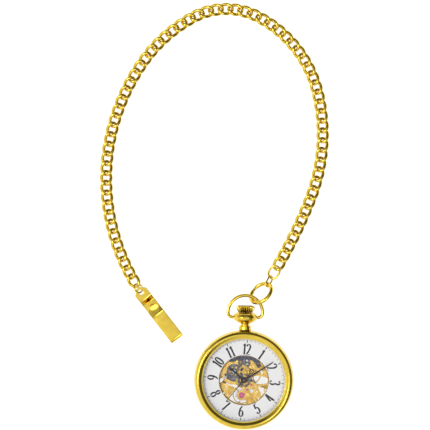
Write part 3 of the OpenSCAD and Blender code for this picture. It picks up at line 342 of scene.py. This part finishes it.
GILT_WHEELS = ["centre_wheel", "minute_wheel", "third_wheel",
               "fourth_wheel", "balance_wheel"]
STEEL_WHEELS = ["barrel_drum", "barrel_cover", "ratchet_wheel", "crown_wheel", "escape_wheel",
                "hour_wheel", "cannon_pinion"]
NODE_MATERIALS = {
    GOLD: ["case_band", "case_back", "bezel", "pendant", "pendant_collar", "bow", "crown",
           "ring_clasp", "ring_bolt", "connector_link", "chain_end_link", "clip_ring",
           "clip_back", "clip_leaf"],
    CHAIN_GOLD: ["curb_chain"],
    BRIDGE_GILT: ["barrel_bridge", "train_bridge", "pallet_bridge", "balance_cock"],
    PLATE_GILT: ["mainplate", "movement_ring", "window_ring"],
    STEEL: ["case_screws", "stem", "winding_pinion", "sliding_pinion", "barrel_arbor", "click",
            "click_spring", "regulator", "bridge_screws", "pallet_fork", "balance_staff"],
    DARK_STEEL: ["mainspring", "setting_lever", "yoke", "setting_bridge"],
    SPRING_STEEL: ["hairspring"],
    DIAL_SILVER: ["dial"],
    LACQUER: ["minute_hand", "hour_hand", "seconds_hand"],
    CRYSTAL: ["front_crystal", "rear_crystal"],
    RUBY: ["jewels"],
    RUBBER: ["rear_gasket", "crystal_gasket"],
}


def paint_nodes():
    def paint(node, material):
        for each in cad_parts[node].material_slots:
            each.link = "OBJECT"
            each.material = material

    for material, nodes in NODE_MATERIALS.items():
        for node in nodes:
            paint(node, material)
    for node in GILT_WHEELS:
        paint(node, sunray(node + "_gilt", (0.5, 0.32, 0.07), (0.68, 0.47, 0.14),
                           node_centre(node)))
    for node in STEEL_WHEELS:
        paint(node, sunray(node + "_steel", (0.09, 0.09, 0.1), (0.24, 0.24, 0.26),
                           node_centre(node)))


paint_nodes()


# ---------------------------------------------------------------- mesh helpers
def piece(name, verts, faces, material, sharp=35.0):
    """A mesh object from vertices in millimetres, smooth but for edges over the sharp angle."""
    mesh = bpy.data.meshes.new(name)
    mesh.from_pydata([Vector(v) * MM for v in verts], [], faces)
    mesh.materials.append(material)
    mesh.validate()
    mesh.shade_smooth()
    mesh.set_sharp_from_angle(angle=radians(sharp))
    made = bpy.data.objects.new(name, mesh)
    bpy.context.collection.objects.link(made)
    return made


def carried(node, body):
    """A copy of a CAD node that is moved by another body than its own."""
    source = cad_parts[node]
    mesh = source.data.copy()
    mesh.materials.clear()
    mesh.materials.append(GOLD)
    made = bpy.data.objects.new(node + "_carried", mesh)
    made.matrix_world = source.matrix_world.copy()
    bpy.context.collection.objects.link(made)
    return finish_piece(made, body, "gold_plate", node)


def finish_piece(made, body, slot, *nodes):
    if nodes:
        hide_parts(*nodes)
    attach(made, body)
    return made


def rounded(corners, steps=6):
    """A closed outline from (x, y, fillet radius) corners."""
    points = []
    count = len(corners)
    for i, (x, y, r) in enumerate(corners):
        here = Vector((x, y))
        before = (Vector(corners[i - 1][:2]) - here).normalized()
        after = (Vector(corners[(i + 1) % count][:2]) - here).normalized()
        angle = before.angle(after)
        if r == 0 or angle > pi - 0.02:
            points.append(here)
            continue
        reach = r / tan(angle / 2)
        centre = here + (before + after).normalized() * r / sin(angle / 2)
        start, end = here + before * reach - centre, here + after * reach - centre
        turn = start.angle_signed(end)
        for k in range(steps + 1):
            points.append(centre + Matrix.Rotation(-turn * k / steps, 2) @ start)
    return points


def lathe(name, outline, material, about=lambda r, h, c, s: (r * c, r * s, h), segments=192,
          shape=lambda r, h, a: r, sharp=35.0):
    """Turns a closed outline of (radius, height) about an axis. shape may change the radius."""
    verts = []
    for i in range(segments):
        a = 2 * pi * i / segments
        verts += [about(shape(p[0], p[1], a), p[1], cos(a), sin(a)) for p in outline]
    n = len(outline)
    faces = []
    for i in range(segments):
        j = (i + 1) % segments
        faces += [(i * n + k, i * n + (k + 1) % n, j * n + (k + 1) % n, j * n + k)
                  for k in range(n)]
    made = piece(name, verts, faces, material, sharp)
    outward(made)
    return made


def outward(made):
    """Turns the faces of each closed shell outwards."""
    import bmesh
    mesh = bmesh.new()
    mesh.from_mesh(made.data)
    bmesh.ops.recalc_face_normals(mesh, faces=mesh.faces)
    mesh.to_mesh(made.data)
    mesh.free()


def along_stem(r, h, c, s):
    """The stem's own axis: height runs along +Y at half the case's height."""
    return (r * c, h, MID_Z + r * s)


def sweep(path, section, up, closed=False):
    """Vertices and faces of a section swept along path. section(i) gives (side, up) offsets,
    and up(i) is the direction that the section's height keeps to."""
    verts, faces = [], []
    count = len(path)
    for i, p in enumerate(path):
        before = path[i - 1] if closed or i > 0 else path[i]
        after = path[(i + 1) % count] if closed or i < count - 1 else path[i]
        way = (after - before).normalized()
        side = up(i).cross(way).normalized()
        above = way.cross(side)
        verts += [p + side * a + above * b for a, b in section(i)]
    n = len(section(0))
    for i in range(count if closed else count - 1):
        j = (i + 1) % count
        faces += [(i * n + k, i * n + (k + 1) % n, j * n + (k + 1) % n, j * n + k)
                  for k in range(n)]
    if not closed:
        faces += [tuple(range(n))[::-1], tuple((count - 1) * n + k for k in range(n))]
    return verts, faces


def circle_section(r, sides):
    return [(r * cos(2 * pi * k / sides), r * sin(2 * pi * k / sides)) for k in range(sides)]


UP = Vector((0, 0, 1))
# A turned solid stops this short of its axis, so that it has no folded faces there.
AXIS_R = 0.02


# ---------------------------------------------------------------- chain
def along(p, heading, length, turn):
    """Position and heading after an arc."""
    if length == 0:
        return p[0], p[1], heading
    r = length / radians(turn)
    a, b = radians(heading), radians(heading + turn)
    return p[0] + r * (sin(b) - sin(a)), p[1] - r * (cos(b) - cos(a)), heading + turn


def drape_at(s):
    """Point and heading after the length s of the chain's lay."""
    p, heading = DRAPE_FROM, DRAPE_HEADING
    for i, (length, turn) in enumerate(DRAPE):
        if s <= length or i == len(DRAPE) - 1:
            return along(p, heading, s, turn * s / length)
        x, y, heading = along(p, heading, length, turn)
        p, s = (x, y), s - length


CURB_SIDE_R = 0.82
CURB_TIP_R = 0.7
CURB_TWIST = 0.8
CURB_HALF = 3.3
CURB_Z = CURB_TWIST + CURB_TIP_R + 0.06
LINK_STEPS = 40
LINK_SIDES = 14


def curb_link():
    """One twisted curb link, flat on both faces, about its own centre."""
    half_width = CHAIN_W / 2 - CURB_SIDE_R

    def around(i):
        t = 2 * pi * i / LINK_STEPS
        flat = 1 + 0.12 * sin(t) ** 2
        return Vector((CURB_HALF * cos(t), half_width * flat * sin(t) / 1.12,
                       CURB_TWIST * sin(2 * t)))

    def section(i):
        side = abs(sin(2 * pi * i / LINK_STEPS))
        wide = CURB_TIP_R + (CURB_SIDE_R - CURB_TIP_R) * side
        return [(wide * a, CURB_TIP_R * b) for a, b in circle_section(1, LINK_SIDES)]

    return sweep([around(i) for i in range(LINK_STEPS)], section, lambda i: UP, closed=True)


def curb_chain():
    link_verts, link_faces = curb_link()
    verts, faces = [], []
    for i in range(CHAIN_LINKS):
        x, y, heading = drape_at(FIRST_LINK + i * CHAIN_PITCH)
        place = Matrix.Translation((x, y, CURB_Z)) @ Matrix.Rotation(radians(heading), 4, "Z")
        faces += [tuple(k + len(verts) for k in face) for face in link_faces]
        verts += [place @ v for v in link_verts]
    made = piece("curb_links", verts, faces, CHAIN_GOLD, sharp=60)
    outward(made)
    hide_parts("curb_chain")
    return made


links = curb_chain()
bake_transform(links)


# ---------------------------------------------------------------- belt clip
def clip_frame():
    """The clip's own frame: X along the strip from its eye, Z up."""
    x, y, heading = drape_at(CLIP_EYE_S)
    return (Matrix.Translation((x, y, 0))
            @ Matrix.Rotation(radians(heading + CLIP_TURN), 4, "Z"))


def strip_section(half_width):
    """A flat strip's section with rounded long edges."""
    half_thick = CLIP_T / 2
    edge = min(half_thick * 0.8, half_width * 0.5)
    corners = [(1, 1, 0), (-1, 1, 90), (-1, -1, 180), (1, -1, 270)]
    return [(a * (half_width - edge) + edge * cos(radians(turn + step)),
             b * (half_thick - edge) + edge * sin(radians(turn + step)))
            for a, b, turn in corners for step in (0, 30, 60, 90)]


def strip(name, path, half_widths, body, *nodes):
    """A strip that follows (x, z) points in the clip's frame."""
    points = [Vector((x, 0, z)) for x, z in path]

    def normal(i):
        way = points[min(i + 1, len(points) - 1)] - points[max(i - 1, 0)]
        return Vector((-way.z, 0, way.x)).normalized()

    verts, faces = sweep(points, lambda i: strip_section(half_widths[i]), normal)
    place = clip_frame()
    made = piece(name, [place @ v for v in verts], faces, GOLD, 50)
    outward(made)
    return finish_piece(made, body, "gold_plate", *nodes)


def clip_strip():
    """The back's strip: down from the eye to the table, along it, and round the fold."""
    start_x, low_z, steps = 2.4, CLIP_T / 2, 12
    path = [(start_x, CLIP_EYE_Z)]
    for k in range(steps + 1):
        t = k / steps
        path.append((CLIP_STEP_FROM + (CLIP_STEP_TO - CLIP_STEP_FROM) * t,
                     CLIP_EYE_Z + (low_z - CLIP_EYE_Z) * t * t * (3 - 2 * t)))
    path += [(CLIP_STEP_TO + (CLIP_FOLD_X - CLIP_STEP_TO) * k / 4, low_z) for k in range(1, 4)]
    fold_r = CLIP_FOLD_R - CLIP_T / 2
    path += [(CLIP_FOLD_X + fold_r * cos(radians(a)), CLIP_FOLD_R + fold_r * sin(radians(a)))
             for a in range(-90, 91, 10)]
    return strip("clip_strip", path, [CLIP_W / 2] * len(path), "clip", "clip_back")


def clip_eye():
    """The plate around the eye, with two corners cut. It is a hair thinner than the strip."""
    half, strip_end, chain_end, cut = CLIP_W / 2, 2.9, 2.4, 2.45
    cut_x, cut_y = -0.762, 0.648
    thin = CLIP_T / 2 - 0.02
    low, high = CLIP_EYE_Z - thin, CLIP_EYE_Z + thin
    place = clip_frame()

    def edge(a):
        sides = [(cos(a), strip_end), (-cos(a), chain_end), (abs(sin(a)), half),
                 (cut_x * cos(a) + cut_y * abs(sin(a)), cut)]
        return min(reach / way for way, reach in sides if way > 0.01)

    def shape(r, h, a):
        return CLIP_EYE_R + (r - CLIP_EYE_R) / (half - CLIP_EYE_R) * (edge(a) - CLIP_EYE_R)

    outline = rounded([(r, z, 0.2) for r, z in ((CLIP_EYE_R, low), (half, low), (half, high),
                                                (CLIP_EYE_R, high))])
    made = lathe("clip_eye_plate", outline, GOLD,
                 lambda r, h, c, s: place @ Vector((r * c, r * s, h)), 96, shape, 50)
    return finish_piece(made, "clip", "gold_plate")


def clip_leaf():
    """The upper leaf: from the fold to a lip that flares up and ends in a half round."""
    half = CLIP_W / 2
    top, dip, dip_x, steps = 2 * CLIP_FOLD_R - CLIP_T / 2, 0.5, 14.6, 6
    lip_x, lip_len, flare = 13.4, 5.8, radians(25)
    low = top - dip
    path = [(CLIP_FOLD_X - (CLIP_FOLD_X - dip_x) * k / steps, top - dip * k / steps)
            for k in range(steps + 1)]
    path += [(lip_x + 0.6, low - 0.02), (lip_x, low + 0.05)]
    widths = [half] * len(path)
    from_tip = [lip_len - 0.5, lip_len - 1.2, 3.4, 2.8, 2.1, 1.5, 1, 0.6, 0.3, 0.1, 0]
    for d in from_tip:
        path.append((lip_x - (lip_len - d) * cos(flare), low + 0.08 + (lip_len - d) * sin(flare)))
        widths.append(half if d >= half else max(0.3, sqrt(half ** 2 - (half - d) ** 2)))
    return strip("clip_spring_leaf", path, widths, "leaf", "clip_leaf")


clip_pieces = [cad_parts["clip_ring"], clip_strip(), clip_eye(), clip_leaf()]


# ---------------------------------------------------------------- case
def bezel_outline():
    r, t = BEZEL_OPEN_R, CASE_T
    return rounded([
        (r + 0.9, BAND_TOP, 0), (r + 0.3, BAND_TOP + 0.3, 0.1), (r + 0.3, GLASS_Z, 0),
        (r + 0.95, GLASS_Z, 0),
        (r + 0.95, GLASS_Z + GLASS_EDGE_T, 0), (r - 0.1, GLASS_Z + GLASS_EDGE_T, 0.05),
        (r - 0.1, t - 1.0, 0.05), (r + 0.35, t - 0.98, 0.1), (r + 1.6, t - 0.05, 0.3),
        (r + 1.95, t, 0.3), (r + 2.25, t - 0.05, 0.3), (r + 3.2, t - 0.85, 0.5),
        (r + 3.48, t - 1.35, 0.4), (r + 3.48, BAND_TOP, 0)])


def band_outline():
    """The band bulges to the case's full radius a little under half way up."""
    bulge, widest_z, edge, steps = 9.0, MID_Z - 0.5, 0.25, 28
    points = [Vector((BAND_BORE_R, BACK_T)), Vector((BAND_BORE_R, BAND_TOP))]
    for k in range(steps + 1):
        z = BAND_TOP - (BAND_TOP - BACK_T) * k / steps
        r = CASE_R - bulge + sqrt(bulge ** 2 - (z - widest_z) ** 2)
        lip = max(0, edge - min(BAND_TOP - z, z - BACK_T))
        points.append(Vector((r - lip * lip / edge, z)))
    return points


def crystal_outline():
    """A thin edge that the bezel holds, and a low dome inside the bezel's opening."""
    edge_r, dome_r, steps = BEZEL_OPEN_R + 0.6, BEZEL_OPEN_R - 0.15, 10
    edge_z = GLASS_Z + GLASS_EDGE_T
    rise = GLASS_T - GLASS_EDGE_T + GLASS_DOME
    points = [Vector((AXIS_R, GLASS_Z)), Vector((edge_r, GLASS_Z)), Vector((edge_r, edge_z))]
    points += [Vector((dome_r * (1 - k / steps) + AXIS_R, edge_z + rise * sin(pi / 2 * k / steps)))
               for k in range(steps + 1)]
    return points


def case_pieces():
    finish_piece(lathe("bezel_polished", bezel_outline(), GOLD), "case", "gold_plate", "bezel")
    finish_piece(lathe("band_polished", band_outline(), GOLD), "case", "gold_plate", "case_band")
    crystal = lathe("crystal_domed", crystal_outline(), CRYSTAL)
    finish_piece(crystal, "case", "crystal", "front_crystal")


def pendant_outline():
    n, b, y = NECK_Y, BULB_R, BULB_Y
    return rounded([
        (1.45, n, 0), (1.85, n, 0.1), (1.85, n + 0.7, 0.15), (2.25, n + 0.75, 0.1),
        (2.25, n + 1.15, 0.15), (b - 2.2, n + 1.75, 0.5), (b - 0.5, y - 1.25, 0.5),
        (b + 0.15, y - 0.1, 0.5), (b - 0.4, y + 1.3, 0.9), (b - 2.2, y + 2.5, 0.5),
        (1.1, y + 2.5, 0)])


def crown_outline():
    y, r, h = CROWN_Y, CROWN_R, CROWN_H - 0.35
    return rounded([
        (AXIS_R, y + 0.9, 0), (0.95, y + 0.9, 0), (0.95, y, 0.1), (r - 1.05, y, 0.3),
        (r - 0.75, y + 0.5, 0.4), (r, y + h * 0.62, 0.5), (r - 0.25, y + h * 0.82, 0.5),
        (r - 1.2, y + h * 0.97, 0.5), (AXIS_R, y + h, 0)])


def fluted(r, h, a):
    """Round flutes along the crown, dying out over its top."""
    if r < CROWN_R - 1.3:
        return r
    depth = 0.85 * min(1, max(0, (CROWN_Y + CROWN_H * 0.84 - h) / 0.9))
    return r - depth * (0.5 - 0.5 * cos(CROWN_FLUTES * a))


def crown_pieces():
    pendant = lathe("pendant_polished", pendant_outline(), GOLD, along_stem, 128)
    finish_piece(pendant, "case", "gold_plate", "pendant")
    crown = lathe("crown_fluted", crown_outline(), CROWN_GOLD_FLUTE_SHADE, along_stem, CROWN_FLUTES * 12,
                  fluted, 50)
    finish_piece(crown, "stem", "gold_plate", "crown")


def bow_path():
    """From one pivot in the bulb, round the corner and the half circle, to the other pivot."""
    y = BULB_Y + BOW_CORNER_R
    corner_x = BOW_R - BOW_CORNER_R
    side = [(BOW_PIVOT_X + (corner_x - BOW_PIVOT_X) * k / 4, BULB_Y) for k in range(4)]
    side += [(corner_x + BOW_CORNER_R * cos(radians(a)),
              y + BOW_CORNER_R * sin(radians(a))) for a in range(-90, 0, 9)]
    top = [(BOW_R * cos(radians(a)), y + BOW_R * sin(radians(a))) for a in range(0, 181, 4)]
    return [Vector((x, v, MID_Z)) for x, v in side + top + [(-x, v) for x, v in side[::-1]]]


def bow_piece():
    path = bow_path()

    def wire_r(p):
        outside = abs(p.x) > BULB_R + 0.1 or p.y > BULB_Y + 0.5
        return BOW_WIRE_R if outside else BOW_PIVOT_R

    verts, faces = sweep(path, lambda i: circle_section(wire_r(path[i]), 24), lambda i: UP)
    bow = piece("bow_wire", verts, faces, GOLD, 60)
    outward(bow)
    finish_piece(bow, "bow", "gold_plate", "bow")


case_pieces()
crown_pieces()
bow_piece()
for link in ("connector_link", "chain_end_link"):
    carried(link, "bow")


# ---------------------------------------------------------------- dial printing
NUMERAL_R = 15.0
NUMERAL_H = 5.2
FIGURE_W = 2.0
FIGURE_PITCH = 1.85
PEN_THIN = 0.28
PEN_THICK = 0.82
INK_T = 0.02
INK_CLEAR = 0.002


def on_dial(r, clock):
    """A point at the radius r, clock degrees round from the dial's twelve."""
    a = radians(90 + DIAL_TURN - clock)
    return r * cos(a), r * sin(a)


def printed(name, boxes):
    """Flat ink marks on the dial: each is (radius of centre, clock angle, width, height)."""
    verts, faces = [], []
    for r, clock, w, h in boxes:
        x, y = on_dial(r, clock)
        turn = Matrix.Rotation(radians(DIAL_TURN - clock), 2)
        at = len(verts)
        for z in (DIAL_TOP + INK_CLEAR, DIAL_TOP + INK_T):
            for u, v in ((-w, -h), (w, -h), (w, h), (-w, h)):
                p = turn @ Vector((u / 2, v / 2))
                verts.append((x + p.x, y + p.y, z))
        faces += [(at + 3, at + 2, at + 1, at), (at + 4, at + 5, at + 6, at + 7)]
        faces += [(at + k, at + (k + 1) % 4, at + 4 + (k + 1) % 4, at + 4 + k) for k in range(4)]
    return finish_piece(piece(name, verts, faces, INK), "case", "black_hands")


def bend(cx, cy, rx, ry, start, end):
    """Points of an ellipse's arc, from one angle to another, in a box one unit wide and high."""
    steps = 14
    angles = [radians(start + (end - start) * k / steps) for k in range(steps + 1)]
    return [(cx + rx * cos(a), cy + ry * sin(a)) for a in angles]


# Each figure is pen strokes in a box one unit wide and one high.
FIGURES = {
    "0": [bend(0.5, 0.5, 0.42, 0.47, 0, 360)],
    "1": [[(0.5, 0.0), (0.5, 1.0)], [(0.52, 0.97), (0.2, 0.8)], [(0.22, 0.02), (0.78, 0.02)]],
    "2": [bend(0.5, 0.72, 0.4, 0.25, 170, -35) + [(0.5, 0.27), (0.08, 0.04)],
          [(0.06, 0.04), (0.94, 0.04)]],
    "3": [bend(0.45, 0.75, 0.37, 0.23, 160, -80), bend(0.45, 0.27, 0.43, 0.25, 85, -160)],
    "4": [[(0.7, 0.0), (0.7, 1.0)], [(0.68, 1.0), (0.04, 0.3)], [(0.04, 0.28), (1.0, 0.28)]],
    "5": [[(0.85, 0.97), (0.2, 0.97)], [(0.2, 0.97), (0.15, 0.55)],
          bend(0.45, 0.32, 0.42, 0.3, 140, -155)],
    "6": [bend(0.5, 0.3, 0.42, 0.28, 0, 360), bend(0.9, 0.35, 0.8, 0.62, 175, 100)],
    "7": [[(0.06, 0.96), (0.94, 0.96)], [(0.92, 0.96), (0.3, 0.0)], [(0.07, 0.98), (0.06, 0.82)]],
    "8": [bend(0.5, 0.75, 0.34, 0.22, 0, 360), bend(0.5, 0.27, 0.42, 0.25, 0, 360)],
    "9": [bend(0.5, 0.7, 0.42, 0.28, 0, 360), bend(0.1, 0.65, 0.8, 0.62, -5, -80)],
}


def pen_stroke(points):
    """A flat ribbon: broad where the pen runs up or down, and fine where it runs across."""
    sides = []
    for i, p in enumerate(points):
        way = (points[min(i + 1, len(points) - 1)] - points[max(i - 1, 0)]).normalized()
        half = (PEN_THIN + (PEN_THICK - PEN_THIN) * abs(way.y) ** 1.5) / 2
        sides.append((p + Vector((-way.y, way.x)) * half, p - Vector((-way.y, way.x)) * half))
    return sides


def numeral(hour):
    """An hour figure, its top outwards on the upper half of the dial and inwards on the lower."""
    inward = 4 <= hour <= 8
    turn = Matrix.Rotation(radians(DIAL_TURN - hour * 30 + (180 if inward else 0)), 2)
    centre = Vector(on_dial(NUMERAL_R, hour * 30))
    figures = str(hour)
    verts, faces = [], []
    level = 0
    for place, figure in enumerate(figures):
        left = (place - (len(figures) - 1) / 2) * FIGURE_PITCH - FIGURE_W / 2
        for stroke in FIGURES[figure]:
            points = [Vector((left + x * FIGURE_W, (y - 0.5) * NUMERAL_H)) for x, y in stroke]
            at = len(verts)
            # Each stroke lies a hair above the last, so that crossing strokes don't share a face.
            top = DIAL_TOP + INK_T + INK_CLEAR * level
            level += 1
            for pair in pen_stroke(points):
                for z in (DIAL_TOP + INK_CLEAR, top):
                    verts += [(*(centre + turn @ p), z) for p in pair]
            for k in range(len(points) - 1):
                a, b = at + 4 * k, at + 4 * (k + 1)
                faces += [(a, b, b + 1, a + 1), (a + 2, a + 3, b + 3, b + 2),
                          (a, a + 2, b + 2, b), (a + 1, b + 1, b + 3, a + 3)]
            end = at + 4 * (len(points) - 1)
            faces += [(at, at + 1, at + 3, at + 2), (end, end + 2, end + 3, end + 1)]
    made = piece("numeral_%d" % hour, verts, faces, INK)
    outward(made)
    return finish_piece(made, "case", "black_hands")


def dial_print():
    for hour in range(1, 13):
        numeral(hour)
    printed("hour_marks", [(18.7, 30 * h, 0.34, 1.25) for h in range(12)])
    printed("minute_marks", [(18.95, 6 * m, 0.13, 0.7) for m in range(60) if m % 5])
    printed("minute_circle", [(19.35, 1.5 * k, 0.53, 0.07) for k in range(240)])


dial_print()


# ---------------------------------------------------------------- studio
def floor():
    half = 3.0
    mesh = bpy.data.meshes.new("floor")
    mesh.from_pydata([(-half, -half, 0), (half, -half, 0), (half, half, 0), (-half, half, 0)], [],
                     [(0, 1, 2, 3)])
    paper = Shader("floor_paper", (0.3, 0.3, 0.3), 0.0, 0.9, Emission_Strength=0.9)
    paper.set("Emission Color", (1, 1, 1, 1))
    paper.color_from(paper.noise(0.02), [(0.3, (0.29, 0.29, 0.29)), (0.7, (0.31, 0.31, 0.31))])
    mesh.materials.append(paper.material)
    made = bpy.data.objects.new("floor", mesh)
    made.location = (0, 0, -0.0002)
    bpy.context.collection.objects.link(made)


def softbox(name, place, size, power):
    light = bpy.data.lights.new(name, "AREA")
    light.shape = "DISK"
    light.size = size
    light.energy = power
    made = bpy.data.objects.new(name, light)
    made.location = place
    aim = Vector((view_at.x, view_at.y, 0)) - Vector(place)
    made.rotation_euler = aim.to_track_quat("-Z", "Y").to_euler()
    bpy.context.collection.objects.link(made)


def studio_world():
    """A white tent that is dark low down, most of all behind the pendant and on the right."""
    world = bpy.data.worlds.new("studio")
    bpy.context.scene.world = world
    world.use_nodes = True
    tree = world.node_tree
    background = tree.nodes["Background"]
    way = tree.nodes.new("ShaderNodeTexCoord").outputs["Generated"]

    def dot(axis):
        made = tree.nodes.new("ShaderNodeVectorMath")
        made.operation = "DOT_PRODUCT"
        made.inputs[1].default_value = axis
        tree.links.new(way, made.inputs[0])
        return made.outputs["Value"]

    def ramp(value, stops):
        made = tree.nodes.new("ShaderNodeValToRGB")
        elements = made.color_ramp.elements
        while len(elements) < len(stops):
            elements.new(0.5)
        for element, (at, level) in zip(elements, stops):
            element.position = at
            element.color = (level, level, level, 1)
        tree.links.new(value, made.inputs["Fac"])
        return made.outputs["Color"]

    height = ramp(dot((0, 0, 1)), [(0.0, 0.12), (0.5, 0.1), (0.72, 0.16), (0.9, 0.75), (1.0, 0.95)])
    shadowed = tree.nodes.new("ShaderNodeMath")
    shadowed.operation = "MULTIPLY_ADD"
    shadowed.inputs[1].default_value = 0.5
    shadowed.inputs[2].default_value = 0.5
    tree.links.new(dot((0.75, 0.66, 0)), shadowed.inputs[0])
    side = ramp(shadowed.outputs[0], [(0.15, 1.0), (0.6, 0.0)])
    mix = tree.nodes.new("ShaderNodeMix")
    mix.data_type = "RGBA"
    tree.links.new(side, mix.inputs["Factor"])
    tree.links.new(height, mix.inputs["A"])
    mix.inputs["B"].default_value = (1, 1, 1, 1)
    tree.links.new(mix.outputs["Result"], background.inputs["Color"])
    background.inputs["Strength"].default_value = 1.0


floor()
studio_world()
softbox("key", (-0.6, 0.1, 1.0), 0.5, 5.0)
softbox("fill", (0.5, -0.5, 1.1), 0.6, 2.4)
bpy.context.scene.view_settings.view_transform = "Standard"
